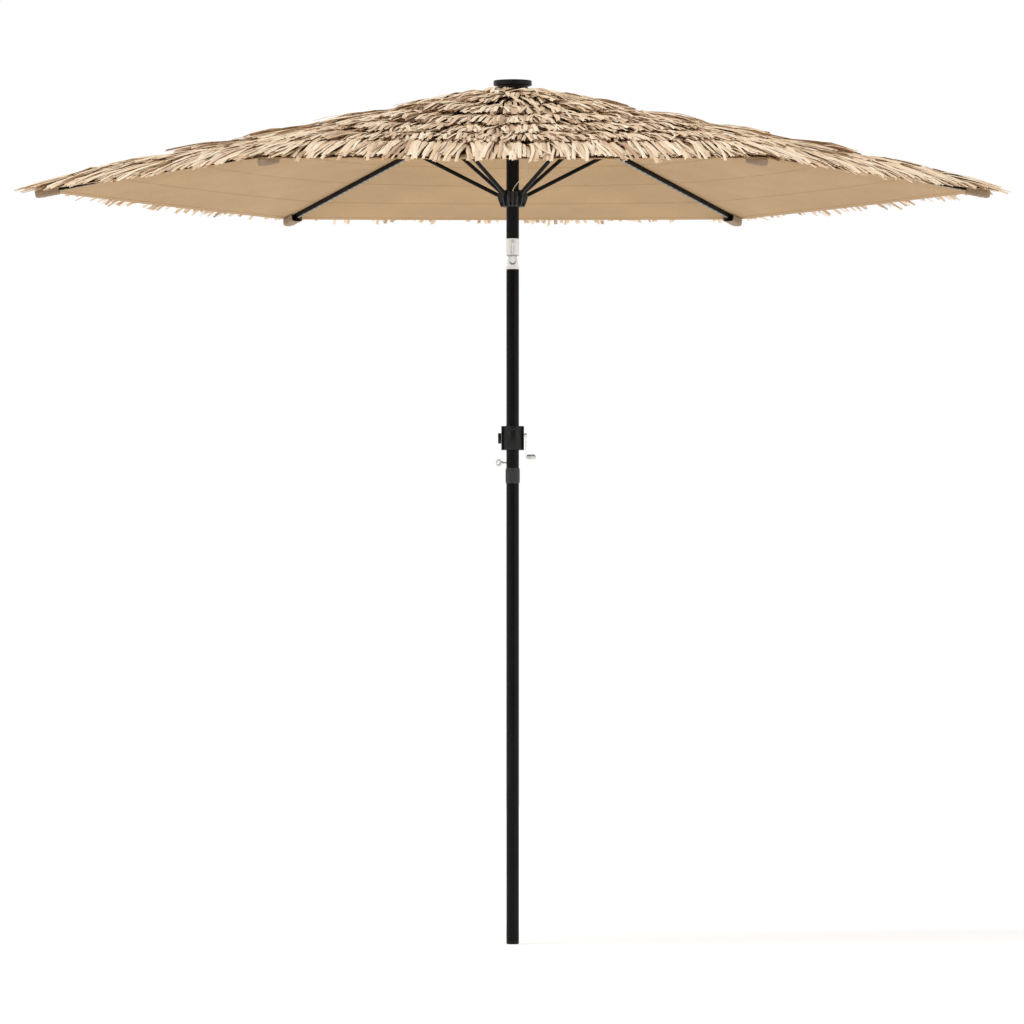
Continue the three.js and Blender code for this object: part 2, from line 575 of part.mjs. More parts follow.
// A tube with a flattened eye at each end, along +X from its lower pin.
function strutGeometry(length) {
  const half = STRUT_RADIUS - 1;
  const neck = STRUT_NECK_HALF;
  const bar = alongX(tube(STRUT_BORE, STRUT_RADIUS, 9, length - 9, 12));
  const eye = () => alongY(rod(STRUT_RADIUS, -half, half, 12));
  const hole = () => alongY(rod(STRUT_PIN_HOLE, -THROUGH, THROUGH, 8));
  const footNeck = block(0, 10, -half, half, -neck, neck);
  const topNeck = block(length - 10, length, -half, half, -neck, neck);
  const joined = [bar, eye(), footNeck, eye().translate(length, 0, 0), topNeck];
  return carve(joined, [hole(), hole().translate(length, 0, 0)]);
}

// Height of the rib centre line at a distance from the axis.
function ribHeight(r) {
  return RIB_PIVOT.z - (r - RIB_PIVOT.r) * Math.tan(RIB_SLOPE);
}

// One rib's share of the canopy: a lower skin of cloth and an upper skin over the thatch, joined
// at the fringe. The space between them is the loose thatch, which is mostly air. The outline of
// [distance, height] is the section along the rib; to both sides the sheet runs to mid-panel.
function canopyGeometry() {
  const cloth = (r) => ribHeight(r) + FABRIC_LIFT;
  const top = (r, rise) => [r, cloth(r) + rise];
  const upper = [[CANOPY_INNER, 25], [160, 30], [1050, 30], [1300, 17], [CANOPY_HEM, 11]];
  const tipTop = cloth(CANOPY_FRINGE) + 4;
  const outline = [
    [CANOPY_INNER, cloth(CANOPY_INNER)],
    [CANOPY_HEM, cloth(CANOPY_HEM)],
    [CANOPY_FRINGE, cloth(CANOPY_FRINGE) - 10],
    [CANOPY_FRINGE, tipTop],
    ...upper.map(([r, rise]) => top(r, rise)).reverse(),
    ...upper.map(([r, rise]) => top(r, rise - SKIN)),
    [CANOPY_HEM, cloth(CANOPY_HEM) + SKIN],
    [CANOPY_INNER, cloth(CANOPY_INNER) + SKIN],
  ];
  const edge = SECTOR / 2;
  const stations = [-edge, 0, edge];
  const positions = [];
  for (const angle of stations) {
    const shrink = Math.cos(SECTOR / 2) / Math.cos(SECTOR / 2 - Math.abs(angle));
    for (const [r, z] of outline) {
      const y = r * shrink * Math.sin(angle) - Math.sign(angle) * CLEARANCE;
      positions.push(r * shrink * Math.cos(angle), y, z);
    }
  }
  const n = outline.length;
  const index = [];
  for (let k = 0; k < stations.length - 1; k++) {
    for (let i = 0; i < n; i++) {
      const j = (i + 1) % n;
      const [a, b, c, d] = [k * n + i, k * n + j, (k + 1) * n + j, (k + 1) * n + i];
      index.push(a, d, b, b, d, c);
    }
  }
  const flat = outline.map(([r, z]) => new THREE.Vector2(r, z));
  const last = (stations.length - 1) * n;
  for (const [a, b, c] of THREE.ShapeUtils.triangulateShape(flat, [])) {
    index.push(a, b, c, last + a, last + c, last + b);
  }
  const geometry = new THREE.BufferGeometry();
  geometry.setAttribute('position', new THREE.Float32BufferAttribute(positions, 3));
  geometry.setIndex(index);
  geometry.computeVertexNormals();
  return geometry;
}

function addSector(number) {
  const sector = new THREE.Group();
  sector.rotation.z = (number - 1) * SECTOR;
  parasol.add(sector);

  const rib = new THREE.Group();
  rib.position.set(RIB_PIVOT.r, 0, RIB_PIVOT.z);
  rib.rotation.y = RIB_SLOPE;
  sector.add(rib);
  piece(`rib_${number}`, ribGeometry(), BLACK_STEEL, rib);
  piece(`rib_bracket_${number}`, bracketGeometry(), BLACK_STEEL, rib).position.x = BRACKET_S;
  piece(`tip_pocket_${number}`, pocketGeometry(), POCKET_FABRIC, rib);

  const topPin = new THREE.Vector2(RIB_PIVOT.r, RIB_PIVOT.z);
  const alongRib = new THREE.Vector2(BRACKET_S, -BRACKET_DROP);
  topPin.add(alongRib.rotateAround(new THREE.Vector2(), -RIB_SLOPE));
  const reach = new THREE.Vector2(topPin.x - STRUT_PIN.r, topPin.y - STRUT_PIN.z);
  const strut = new THREE.Group();
  strut.position.set(STRUT_PIN.r, 0, STRUT_PIN.z);
  strut.rotation.y = -reach.angle();
  sector.add(strut);
  piece(`strut_${number}`, strutGeometry(reach.length()), BLACK_STEEL, strut);

  piece(`canopy_${number}`, canopyGeometry(), THATCH, sector);
}

// ---- Assembly ----------------------------------------------------------------------------

addLowerPole();
addCoupling();
addCrankPole();
addLockScrew();
addHousing();
addCrank();
addTiltFork();
addTiltPin();
addTiltHead();
addMast();
addPulley();
addCrown();
addFinial();
addRunner();
addLiftCord();
for (let number = 1; number <= RIB_COUNT; number++) addSector(number);

export default parasol;
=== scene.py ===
import math

import bpy
import numpy as np
from mathutils import Matrix, Vector


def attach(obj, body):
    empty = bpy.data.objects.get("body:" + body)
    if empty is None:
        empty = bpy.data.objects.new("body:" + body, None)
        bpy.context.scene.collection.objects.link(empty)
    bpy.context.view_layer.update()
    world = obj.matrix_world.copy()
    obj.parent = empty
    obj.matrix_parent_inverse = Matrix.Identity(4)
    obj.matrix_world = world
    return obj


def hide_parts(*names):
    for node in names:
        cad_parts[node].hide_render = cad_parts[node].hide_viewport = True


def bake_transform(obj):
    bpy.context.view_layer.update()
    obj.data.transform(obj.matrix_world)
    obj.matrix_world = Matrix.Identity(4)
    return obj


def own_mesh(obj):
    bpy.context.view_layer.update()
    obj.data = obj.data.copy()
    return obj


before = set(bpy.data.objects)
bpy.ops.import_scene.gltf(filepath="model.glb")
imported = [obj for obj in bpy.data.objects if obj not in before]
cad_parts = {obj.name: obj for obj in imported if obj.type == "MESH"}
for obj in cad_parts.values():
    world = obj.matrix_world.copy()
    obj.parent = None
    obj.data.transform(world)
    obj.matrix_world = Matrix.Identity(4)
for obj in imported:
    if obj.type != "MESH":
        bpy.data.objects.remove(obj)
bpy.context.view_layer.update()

# Looks for the crank-and-tilt thatched parasol. Shapes are written in millimetres in the packed
# model's frame and scaled to metres where each mesh is made. Rib 1 points along +X.

MM = 0.001

RIB_COUNT = 6
RIBS = range(1, RIB_COUNT + 1)
SECTOR = 2 * math.pi / RIB_COUNT
HALF_SECTOR = SECTOR / 2

POLE_RADIUS = 19.0
POLE_BORE = 18.0
PLUG_RADIUS = 17.7                 # of what sits inside a pole's end
POLE_JOINT_Z = 1400.0
LOCK_SCREW_Z = 1439.0
CRANK_Z = 1522.5
CRANK_THROW = 66.5
SHAFT_RADIUS = 4.5
TILT_BASE_Z = 2018.7
TILT_PIVOT_Z = 2042.0
TILT_TOP_Z = 2110.7
MAST_TOP_Z = 2515.0
CLEARANCE = 0.3
THROUGH = 30.0                     # how far cutting rods reach, past any wall of the pole

RIB_PIVOT_R = 30.0
RIB_PIVOT_Z = 2522.15
RIB_SLOPE = math.radians(11.03)
RIB_WIDTH = 12.0
RIB_HEIGHT = 14.5
RIB_START = 14.0
RIB_END = 1402.0
BRACKET_S = 397.1
BRACKET_DROP = 16.0
STRUT_PIN_R = 36.0
STRUT_PIN_Z = 2237.2

CANOPY_INNER = 46.0
CANOPY_HEM = 1431.0
FABRIC_LIFT = 8.4


# ---- Camera and lift cord ----

CAMERA_LENS = 269.3
CAMERA_PLACE = (-0.002, -22.91, 0.562)      # in metres
CAMERA_TARGET = (-0.002, 0.0, 1.2916)


def make_camera():
    data = bpy.data.cameras.new("camera")
    data.lens = CAMERA_LENS
    data.sensor_width = 36.0
    data.clip_end = 200.0
    camera = bpy.data.objects.new("camera", data)
    bpy.context.scene.collection.objects.link(camera)
    camera.location = CAMERA_PLACE
    view = Vector(CAMERA_TARGET) - camera.location
    camera.rotation_euler = view.to_track_quat("-Z", "Y").to_euler()
    bpy.context.scene.camera = camera


CORD_ROUTE = [
    (17.5, 0, 2452), (20.6, -1.8, 2451), (22, -6, 2445), (25, -10.3, 2434), (31, -12.6, 2418),
    (36.5, -13.6, 2399), (40.3, -14, 2379), (42.2, -14.5, 2358), (41.6, -15.6, 2336),
    (38.8, -17.2, 2315), (33.5, -19.4, 2300), (26.5, -22, 2290), (19.5, -24.2, 2282), (12.5, -26, 2273.5),
    (6.5, -26.8, 2265.5), (2, -27, 2257.5), (0, -27, 2250.4),
]
CORD_RADIUS = 1.25


def smooth_route(points, steps):
    """A Catmull-Rom curve through the points, with the given number of steps between each two."""
    knots = [Vector(p) for p in points]
    padded = [2 * knots[0] - knots[1], *knots, 2 * knots[-1] - knots[-2]]
    route = []
    for a, b, c, d in zip(padded, padded[1:], padded[2:], padded[3:]):
        for k in range(steps):
            t = k / steps
            route.append(0.5 * (2 * b + (c - a) * t + (2 * a - 5 * b + 4 * c - d) * t * t
                                + (3 * b - a - 3 * c + d) * t ** 3))
    return [*route, knots[-1]]


def make_lift_cord(material):
    """The cord runs out between the slot in the mast and the runner."""
    route = [p * MM for p in smooth_route(CORD_ROUTE, 4)]
    curve = bpy.data.curves.new("cord_line", "CURVE")
    curve.dimensions = "3D"
    curve.bevel_depth = CORD_RADIUS * MM
    curve.bevel_resolution = 5
    curve.use_fill_caps = True
    spline = curve.splines.new("POLY")
    spline.points.add(len(route) - 1)
    for point, place in zip(spline.points, route):
        point.co = (*place, 1)
    line = bpy.data.objects.new("cord_line", curve)
    bpy.context.scene.collection.objects.link(line)
    graph = bpy.context.evaluated_depsgraph_get()
    mesh = bpy.data.meshes.new_from_object(line.evaluated_get(graph))
    bpy.data.objects.remove(line)
    mesh.shade_smooth()
    mesh.materials.clear()
    mesh.materials.append(material)
    cord = bpy.data.objects.new("lift_cord_braid", mesh)
    bpy.context.scene.collection.objects.link(cord)
    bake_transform(cord)
    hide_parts("lift_cord")


# ---- Shader nodes ----

def rgba(color):
    """A colour as a socket takes it; a link is passed on as it is."""
    return color if isinstance(color, bpy.types.NodeSocket) else (*color, 1)


class Shader:
    """A Principled material with short calls for the nodes that feed it."""

    def __init__(self, name, color, roughness, metallic=0.0):
        self.material = bpy.data.materials.new(name)
        self.material.use_nodes = True
        self.tree = self.material.node_tree
        self.surface = self.tree.nodes["Principled BSDF"]
        self.material.diffuse_color = rgba(color)
        self.set("Base Color", rgba(color))
        self.set("Roughness", roughness)
        self.set("Metallic", metallic)

    def set(self, socket, value):
        self.surface.inputs[socket].default_value = value

    def node(self, kind, inputs, output, **settings):
        """A new node with its inputs set or linked, and the output that is wanted from it."""
        node = self.tree.nodes.new("ShaderNode" + kind)
        for name, value in settings.items():
            setattr(node, name, value)
        for socket, value in inputs.items():
            if isinstance(value, bpy.types.NodeSocket):
                self.tree.links.new(value, node.inputs[socket])
            else:
                node.inputs[socket].default_value = value
        return node.outputs[output]

    def coordinates(self, scale=(1, 1, 1), uv_map=None):
        if uv_map:
            source = self.node("UVMap", {}, "UV", uv_map=uv_map)
        else:
            source = self.node("TexCoord", {}, "Object")
        return self.node("Mapping", {"Scale": scale, "Vector": source}, "Vector")

    def noise(self, scale, detail=2.0, vector=None, roughness=0.5):
        inputs = {"Scale": scale, "Detail": detail, "Roughness": roughness}
        inputs["Vector"] = vector or self.coordinates()
        return self.node("TexNoise", inputs, "Fac")

    def wave(self, scale, vector, direction="X", distortion=0.0):
        inputs = {"Scale": scale, "Distortion": distortion, "Vector": vector}
        return self.node("TexWave", inputs, "Fac", bands_direction=direction)

    def split(self, vector):
        return self.node("SeparateXYZ", {0: vector}, 0).node.outputs

    def math(self, operation, a, b=0.0, c=0.0):
        return self.node("Math", {0: a, 1: b, 2: c}, 0, operation=operation)

    def remap(self, value, low, high, new_low, new_high):
        inputs = {"Value": value, "From Min": low, "From Max": high, "To Min": new_low, "To Max": new_high}
        return self.node("MapRange", inputs, "Result")

    def ramp(self, value, stops):
        result = self.node("ValToRGB", {"Fac": value}, "Color")
        elements = result.node.color_ramp.elements
        while len(elements) < len(stops):
            elements.new(0.5)
        for element, (position, color) in zip(elements, stops):
            element.position = position
            element.color = rgba(color)
        return result

    def mix(self, factor, a, b):
        return self.node("Mix", {0: factor, 6: rgba(a), 7: rgba(b)}, 2, data_type="RGBA")

    def color(self, value):
        self.tree.links.new(value, self.surface.inputs["Base Color"])

    def roughness(self, value):
        self.tree.links.new(value, self.surface.inputs["Roughness"])

    def bump(self, height, distance, strength=1.0, below=None):
        inputs = {"Distance": distance, "Strength": strength, "Height": height}
        if below:
            inputs["Normal"] = below
        normal = self.node("Bump", inputs, "Normal")
        self.tree.links.new(normal, self.surface.inputs["Normal"])
        return normal


def powder_coat():
    """Satin black powder coat: a fine orange peel, faint handling streaks along the tube."""
    s = Shader("powder_coat", (0.005, 0.0053, 0.005), 0.38)
    streaks = s.noise(60, 3, s.coordinates(scale=(1, 1, 0.06)))
    s.color(s.ramp(streaks, [(0.35, (0.003, 0.0033, 0.0032)), (0.75, (0.0062, 0.0066, 0.0064))]))
    s.roughness(s.remap(s.noise(35, 4), 0.3, 0.7, 0.3, 0.4))
    s.set("Specular IOR Level", 0.11)
    s.bump(s.noise(1100, 1), 0.00003, 0.5)
    return s.material


def moulded_plastic(name, color, roughness, specular=0.5, grain=0.6):
    """Moulded plastic with a spark-eroded grain and slight rubbing marks."""
    s = Shader(name, color, roughness)
    s.set("Specular IOR Level", specular)
    darker = tuple(c * 0.82 for c in color)
    lighter = tuple(c * 1.25 for c in color)
    s.color(s.ramp(s.noise(90, 4), [(0.3, darker), (0.7, lighter)]))
    s.roughness(s.remap(s.noise(220, 3), 0.3, 0.7, roughness - 0.07, roughness + 0.08))
    s.bump(s.noise(1600, 2), 0.00004, grain)
    return s.material


def cast_metal():
    """Pale painted casting of the tilt joint."""
    s = Shader("cast_tilt_paint", (0.9, 0.93, 0.96), 0.38)
    s.color(s.ramp(s.noise(45, 4), [(0.3, (0.87, 0.9, 0.94)), (0.7, (0.93, 0.96, 0.99))]))
    s.roughness(s.remap(s.noise(160, 3), 0.3, 0.7, 0.3, 0.45))
    s.bump(s.noise(700, 3), 0.00005, 0.5)
    return s.material


def bright_metal():
    """Plated steel with faint drawing lines and fingerprints."""
    s = Shader("bright_plating", (0.78, 0.78, 0.77), 0.16, 1.0)
    s.roughness(s.remap(s.noise(120, 4), 0.3, 0.75, 0.1, 0.28))
    s.bump(s.noise(400, 2, s.coordinates(scale=(0.1, 1, 1))), 0.00002, 0.4)
    return s.material


CELL_SIZE = 0.013                  # between the bus lines, in metres


def solar_glass():
    """Dark cells under glass, with silver bus lines."""
    s = Shader("solar_cells", (0.008, 0.011, 0.02), 0.12)
    axes = s.split(s.coordinates())
    bars = [s.math("LESS_THAN", s.math("PINGPONG", axes[k], CELL_SIZE), 0.0005) for k in (0, 1)]
    grid = s.math("MAXIMUM", *bars)
    fingers = s.math("LESS_THAN", s.math("PINGPONG", axes[0], 0.0012), 0.00012)
    cells = s.ramp(s.noise(300, 3), [(0.3, (0.006, 0.009, 0.018)), (0.7, (0.012, 0.018, 0.04))])
    lined = s.mix(s.math("MULTIPLY", fingers, 0.5), cells, (0.12, 0.13, 0.14))
    s.color(s.mix(grid, lined, (0.32, 0.33, 0.34)))
    s.set("Coat Weight", 1.0)
    s.set("Coat Roughness", 0.04)
    return s.material


def cord_braid():
    """Pale braided nylon with slanting strands."""
    s = Shader("cord_braid", (0.72, 0.66, 0.56), 0.5)
    strands = s.wave(260, s.coordinates(), "DIAGONAL", 1.5)
    s.color(s.ramp(strands, [(0.2, (0.55, 0.49, 0.4)), (0.8, (0.8, 0.75, 0.66))]))
    s.bump(strands, 0.0002, 0.6)
    return s.material


LAMP_SPACING = 0.0334              # along a strip, in metres
LAMP_SIZE = 0.0052


def light_strip():
    """Clouded silicone over a row of small lamps."""
    s = Shader("light_strip", (0.15, 0.148, 0.14), 0.45)
    along = s.split(s.coordinates(uv_map="along"))
    lamps = s.math("LESS_THAN", s.math("PINGPONG", along[0], LAMP_SPACING / 2), LAMP_SIZE / 2)
    s.color(s.mix(lamps, (0.15, 0.148, 0.14), (0.42, 0.4, 0.26)))
    s.bump(s.noise(500, 2), 0.00005, 0.5)
    return s.material


def woven(name, color, thread=0.0006, stitch_rows=()):
    """Plain-woven polyester: threads both ways, slubs, and stitched rows parallel to the hem."""
    s = Shader(name, color, 0.86)
    s.set("Specular IOR Level", 0.2)
    uv = s.coordinates(uv_map="cloth")
    axes = s.split(uv)
    waves = 1 / (thread * 20 / math.pi)
    warp = s.wave(waves, uv, "X")
    weft = s.wave(waves, uv, "Y")
    threads = s.math("MULTIPLY", warp, weft)
    cloudy = s.noise(3.5, 5, uv, 0.6)
    slubs = s.noise(60, 3, s.coordinates(uv_map="cloth", scale=(1, 14, 1)))
    tone = s.math("ADD", s.math("MULTIPLY", cloudy, 0.6), s.math("MULTIPLY", slubs, 0.4))
    dark = tuple(c * 0.86 for c in color)
    pale = tuple(min(c * 1.12, 1) for c in color)
    base = s.ramp(tone, [(0.35, dark), (0.65, pale)])
    base = s.mix(s.math("MULTIPLY", threads, 0.12), base, tuple(c * 0.7 for c in color))
    lines = None
    for row in stitch_rows:
        near = s.math("COMPARE", axes[1], row, 0.0016)
        lines = s.math("MAXIMUM", lines, near) if lines else near
    if lines:
        dashes = s.math("GREATER_THAN", s.math("PINGPONG", axes[0], 0.0026), 0.0008)
        seam = s.math("MULTIPLY", lines, s.math("MULTIPLY_ADD", dashes, 0.25, 0.12))
        base = s.mix(seam, base, tuple(c * 0.5 for c in color))
    s.color(base)
    s.set("Sheen Weight", 0.08)
    s.set("Sheen Roughness", 0.5)
    below = s.bump(s.noise(9, 4, uv), 0.0012, 0.35)
    s.bump(threads, 0.0002, 0.5, below)
    return s.material


def straw():
    """Dried raffia ribbons. Each carries a tone: a random tone per ribbon with painted shade on low-lying
    ribbons and towards each root, and painted light on the lowest row; fibres run along it.
    """
    s = Shader("straw_ribbon", (0.66, 0.5, 0.33), 0.72)
    tone_with_painted_shade = s.node("Attribute", {}, "Color", attribute_name="tone")
    # The first channel is the random tone with painted shade and painted light worked into it.
    shade, hue, _ = s.node("SeparateColor", {0: tone_with_painted_shade}, 0).node.outputs
    uv = s.coordinates(uv_map="strip", scale=(60, 2.2, 1))
    fibres = s.noise(6, 4, uv, 0.65)
    blotches = s.noise(14, 3, s.coordinates(uv_map="strip", scale=(3, 1, 1)))
    mixed = s.math("ADD", shade, s.math("MULTIPLY_ADD", fibres, 0.5, -0.25))
    mixed = s.math("ADD", mixed, s.math("MULTIPLY_ADD", blotches, 0.3, -0.15))
    colors = s.ramp(mixed, [
        (0.0, (0.21, 0.12, 0.06)), (0.22, (0.4, 0.25, 0.14)), (0.5, (0.62, 0.44, 0.27)),
        (0.75, (0.78, 0.61, 0.42)), (1.0, (0.9, 0.78, 0.6)),
    ])
    s.color(s.mix(s.math("MULTIPLY", hue, 0.3), colors, (0.62, 0.4, 0.26)))
    s.roughness(s.remap(fibres, 0.3, 0.7, 0.6, 0.85))
    s.bump(fibres, 0.0004, 0.6)
    return s.material


def studio_floor():
    """White paper, slightly lit from within so that it melts into the background."""
    s = Shader("studio_floor", (0.93, 0.93, 0.93), 0.9)
    s.color(s.ramp(s.noise(0.8, 3), [(0.3, (0.92, 0.92, 0.92)), (0.7, (0.94, 0.94, 0.94))]))
    s.set("Specular IOR Level", 0.0)
    s.set("Emission Color", (1, 1, 1, 1))
    s.set("Emission Strength", 0.15)
    return s.material


# ---- Mesh helpers ----

SMOOTH_ANGLE = math.radians(34)


def add_object(name, mesh):
    piece = bpy.data.objects.new(name, mesh)
    bpy.context.scene.collection.objects.link(piece)
    return piece


def mesh_piece(name, vertices, faces):
    """A mesh from points in millimetres."""
    mesh = bpy.data.meshes.new(name)
    mesh.from_pydata([Vector(v) * MM for v in vertices], [], faces)
    mesh.update()
    return add_object(name, mesh)


def smooth(piece):
    piece.data.shade_smooth()
    piece.data.set_sharp_from_angle(angle=SMOOTH_ANGLE)
    return piece


def dress(piece, body, slot, material, *nodes):
    """Give a piece its material and body, and hide the CAD nodes that it stands for; the slot is not used."""
    piece.data.materials.clear()
    piece.data.materials.append(material)
    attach(piece, body)
    if nodes:
        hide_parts(*nodes)
    return piece


def fillet(points, steps=5):
    """Round the corners of a closed outline that carry a radius as their third number."""
    outline = []
    for i, point in enumerate(points):
        here = Vector(point[:2])
        if len(point) < 3:
            outline.append(tuple(here))
            continue
        back = Vector(points[i - 1][:2]) - here
        ahead = Vector(points[(i + 1) % len(points)][:2]) - here
        reach = point[2] / math.tan(back.angle(ahead) / 2)
        start = here + back.normalized() * min(reach, 0.49 * back.length)
        end = here + ahead.normalized() * min(reach, 0.49 * ahead.length)
        for k in range(steps + 1):
            t = k / steps
            outline.append(tuple(start * (1 - t) ** 2 + here * 2 * t * (1 - t) + end * t * t))
    return outline


def lathe(name, profile, segments=64, ring=False):
    """Turn a profile of (radius, height) about Z. It runs counter-clockwise, and a ring closes on itself."""
    profile = fillet(profile)
    vertices, rows = [], []
    for r, z in profile:
        count = 1 if r < 1e-6 else segments
        rows.append(range(len(vertices), len(vertices) + count))
        for k in range(count):
            angle = 2 * math.pi * k / segments
            vertices.append((r * math.cos(angle), r * math.sin(angle), z))
    pairs = list(zip(rows, rows[1:]))
    if ring:
        pairs.append((rows[-1], rows[0]))
    faces = []
    for low, high in pairs:
        for k in range(segments):
            after = (k + 1) % segments
            if len(low) == 1 and len(high) > 1:
                faces.append((low[0], high[after], high[k]))
            elif len(high) == 1 and len(low) > 1:
                faces.append((low[k], low[after], high[0]))
            elif len(low) > 1:
                faces.append((low[k], low[after], high[after], high[k]))
    return smooth(mesh_piece(name, vertices, faces))


def rod(name, radius, low, high, edge=0.0, segments=48):
    profile = [(0, low), (radius, low, edge), (radius, high, edge), (0, high)]
    if not edge:
        profile = [point[:2] for point in profile]
    return lathe(name, profile, segments)


def prism(name, outline, low, high):
    """A flat outline in X and Z, extruded along Y."""
    count = len(outline)
    vertices = [(x, low, z) for x, z in outline] + [(x, high, z) for x, z in outline]
    faces = [tuple(range(count)), tuple(reversed(range(count, 2 * count)))]
    for k in range(count):
        after = (k + 1) % count
        faces.append((after, k, k + count, after + count))
    return mesh_piece(name, vertices, faces)


def brick(name, x0, x1, y0, y1, z0, z1):
    return prism(name, [(x0, z0), (x1, z0), (x1, z1), (x0, z1)], y0, y1)


def stadium(width, height, x=0.0, z=0.0, segments=16):
    """A slot outline with round ends, standing along Z."""
    r = width / 2
    reach = height / 2 - r
    outline = []
    for start, center in ((0.0, reach), (math.pi, -reach)):
        for k in range(segments + 1):
            angle = start + math.pi * k / segments
            outline.append((x + r * math.cos(angle), z + center + r * math.sin(angle)))
    return outline


def moved(piece, matrix):
    piece.data.transform(matrix)
    return piece


def shift(x, y, z):
    return Matrix.Translation(Vector((x, y, z)) * MM)


ALONG_X = Matrix.Rotation(math.pi / 2, 4, "Y")
ALONG_MINUS_X = Matrix.Rotation(-math.pi / 2, 4, "Y")
ALONG_Y = Matrix.Rotation(-math.pi / 2, 4, "X")
ALONG_MINUS_Y = Matrix.Rotation(math.pi / 2, 4, "X")


def apply_modifiers(piece):
    graph = bpy.context.evaluated_depsgraph_get()
    mesh = bpy.data.meshes.new_from_object(piece.evaluated_get(graph))
    piece.modifiers.clear()
    piece.data = mesh
    return piece


def carve(joined, removed=(), bevel=0.0, within=()):
    """One mesh from pieces joined, others cut away and what lies outside the last dropped; edges rounded."""
    base = joined[0]
    tools = [(other, "UNION") for other in joined[1:]] + [(other, "DIFFERENCE") for other in removed]
    tools += [(other, "INTERSECT") for other in within]
    for other, operation in tools:
        step = base.modifiers.new(operation, "BOOLEAN")
        step.operation = operation
        step.object = other
        step.solver = "EXACT"
    apply_modifiers(base)
    for other, _ in tools:
        bpy.data.objects.remove(other)
    return rounded(base, bevel) if bevel else smooth(base)


def rounded(piece, width, segments=2):
    edges = piece.modifiers.new("edges", "BEVEL")
    edges.width = width * MM
    edges.segments = segments
    edges.limit_method = "ANGLE"
    edges.angle_limit = math.radians(32)
    edges.miter_outer = "MITER_ARC"
    apply_modifiers(piece)
    piece.data.shade_smooth()
    piece.data.set_sharp_from_angle(angle=math.radians(50))
    return piece


def refined(node, suffix, bevel):
    """A copy of a CAD node's mesh with rounded edges."""
    return rounded(add_object(node + suffix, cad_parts[node].data.copy()), bevel)


def turn(number):
    return Matrix.Rotation((number - 1) * SECTOR, 4, "Z")


def rib_place(number):
    return turn(number) @ shift(RIB_PIVOT_R, 0, RIB_PIVOT_Z) @ Matrix.Rotation(RIB_SLOPE, 4, "Y")


def on_each_rib(name, pattern, place=rib_place):
    """A copy of one mesh for every rib, in pairs with the rib's number; the pattern itself is removed."""
    made = [(n, moved(add_object(f"{name}_{n}", pattern.data.copy()), place(n))) for n in RIBS]
    bpy.data.objects.remove(pattern)
    return made


def half_name(name, number, side):
    return f"{name}_{number}_{'a' if side < 0 else 'b'}"


# ---- Pole ----

def pole_tube(name, low, high):
    return lathe(name, [(POLE_BORE, low), (POLE_RADIUS, low, 0.4), (POLE_RADIUS, high, 0.4),
                        (POLE_BORE, high)], ring=True)


def shaft_cut(reach):
    """The hole for the crank's shaft."""
    return moved(rod("shaft", SHAFT_RADIUS, -reach, reach), shift(0, 0, CRANK_Z) @ ALONG_X)


def make_poles(coat, black):
    foot = lathe("foot_cap", [(0, 0), (17.2, 0, 3), (POLE_RADIUS, 4.5, 2), (POLE_RADIUS, 9, 0.5),
                              (PLUG_RADIUS, 9), (PLUG_RADIUS, 34), (0, 34)])
    dress(foot, "base", "black_plastic", black, "foot_plug")
    dress(pole_tube("lower_tube", 9.3, POLE_JOINT_Z), "base", "steel_tube", coat, "lower_pole")
    upper = pole_tube("upper_tube", POLE_JOINT_Z + CLEARANCE, TILT_BASE_Z - CLEARANCE)
    hole = moved(rod("hole", 3.3, -THROUGH, 0), shift(0, 0, LOCK_SCREW_Z) @ ALONG_X)
    dress(carve([upper], [hole, shaft_cut(THROUGH)]), "base", "steel_tube", coat, "crank_pole")


COUPLING_RIBS = 30


def make_coupling(plastic):
    """A collar with fine upright grip ribs."""
    low, high = POLE_JOINT_Z - 23, POLE_JOINT_Z + 23
    levels = [(low, 20.0, 0), (low + 0.6, 20.4, 0), (low + 4.5, 21.1, 0), (low + 6, 21.1, 0.35),
              (high - 6, 21.1, 0.35), (high - 4.5, 21.1, 0), (high - 0.6, 20.4, 0), (high, 20.0, 0)]
    across = COUPLING_RIBS * 8
    vertices, faces = [], []
    inner = POLE_RADIUS + CLEARANCE
    rows = [(low, inner, 0), *levels, (high, inner, 0)]
    for z, radius, ridge in rows:
        for k in range(across):
            angle = 2 * math.pi * k / across
            r = radius + ridge * math.cos(COUPLING_RIBS * angle)
            vertices.append((r * math.cos(angle), r * math.sin(angle), z))
    for i in range(len(rows)):
        j = (i + 1) % len(rows)
        for k in range(across):
            after = (k + 1) % across
            faces.append((i * across + k, i * across + after, j * across + after, j * across + k))
    collar = smooth(mesh_piece("coupling_grip", vertices, faces))
    dress(collar, "base", "grey_plastic", plastic, "pole_coupling")


def make_lock_screw(metal, light):
    """A wing screw whose thread runs into the pole."""
    profile = [(0, -34), (5, -34, 0.6), (5, -29, 0.6), (3.2, -28)]
    for k in range(9):
        z = -27.5 + k
        profile += [(3.1, z), (2.6, z + 0.5)]
    profile += [(3.0, -18.6), (0, -18.2)]
    stem = moved(lathe("wing_screw", profile, 32), shift(0, 0, LOCK_SCREW_Z) @ ALONG_X)
    dress(stem, "lock_screw", "bright_metal", metal, "lock_screw")
    wing = prism("wing_grip", stadium(16, 22, -42, LOCK_SCREW_Z), -1.8, 1.8)
    eye = prism("eye", stadium(5, 9, -43.5, LOCK_SCREW_Z), -5, 5)
    dress(carve([wing], [eye], 0.7), "lock_screw", "bright_metal", light)


# ---- Crank ----

HOUSING_BASE_Z = 1477.0
HOUSING_TOP_Z = 1548.5
HOUSING_SEAM_Z = 1534.8
HOUSING_ROUND = 29.0
HOUSING_CHEEK = ((20.0, 20.9), (30.4, 11.4))   # X and half depth where a cheek leaves the drum and ends
HOUSING_EAR_X = 34.0
HOUSING_EAR_Y = 16.0
CASE_EDGE = 1.2
CAP_Z = 1512.0                     # of the round cap on the left


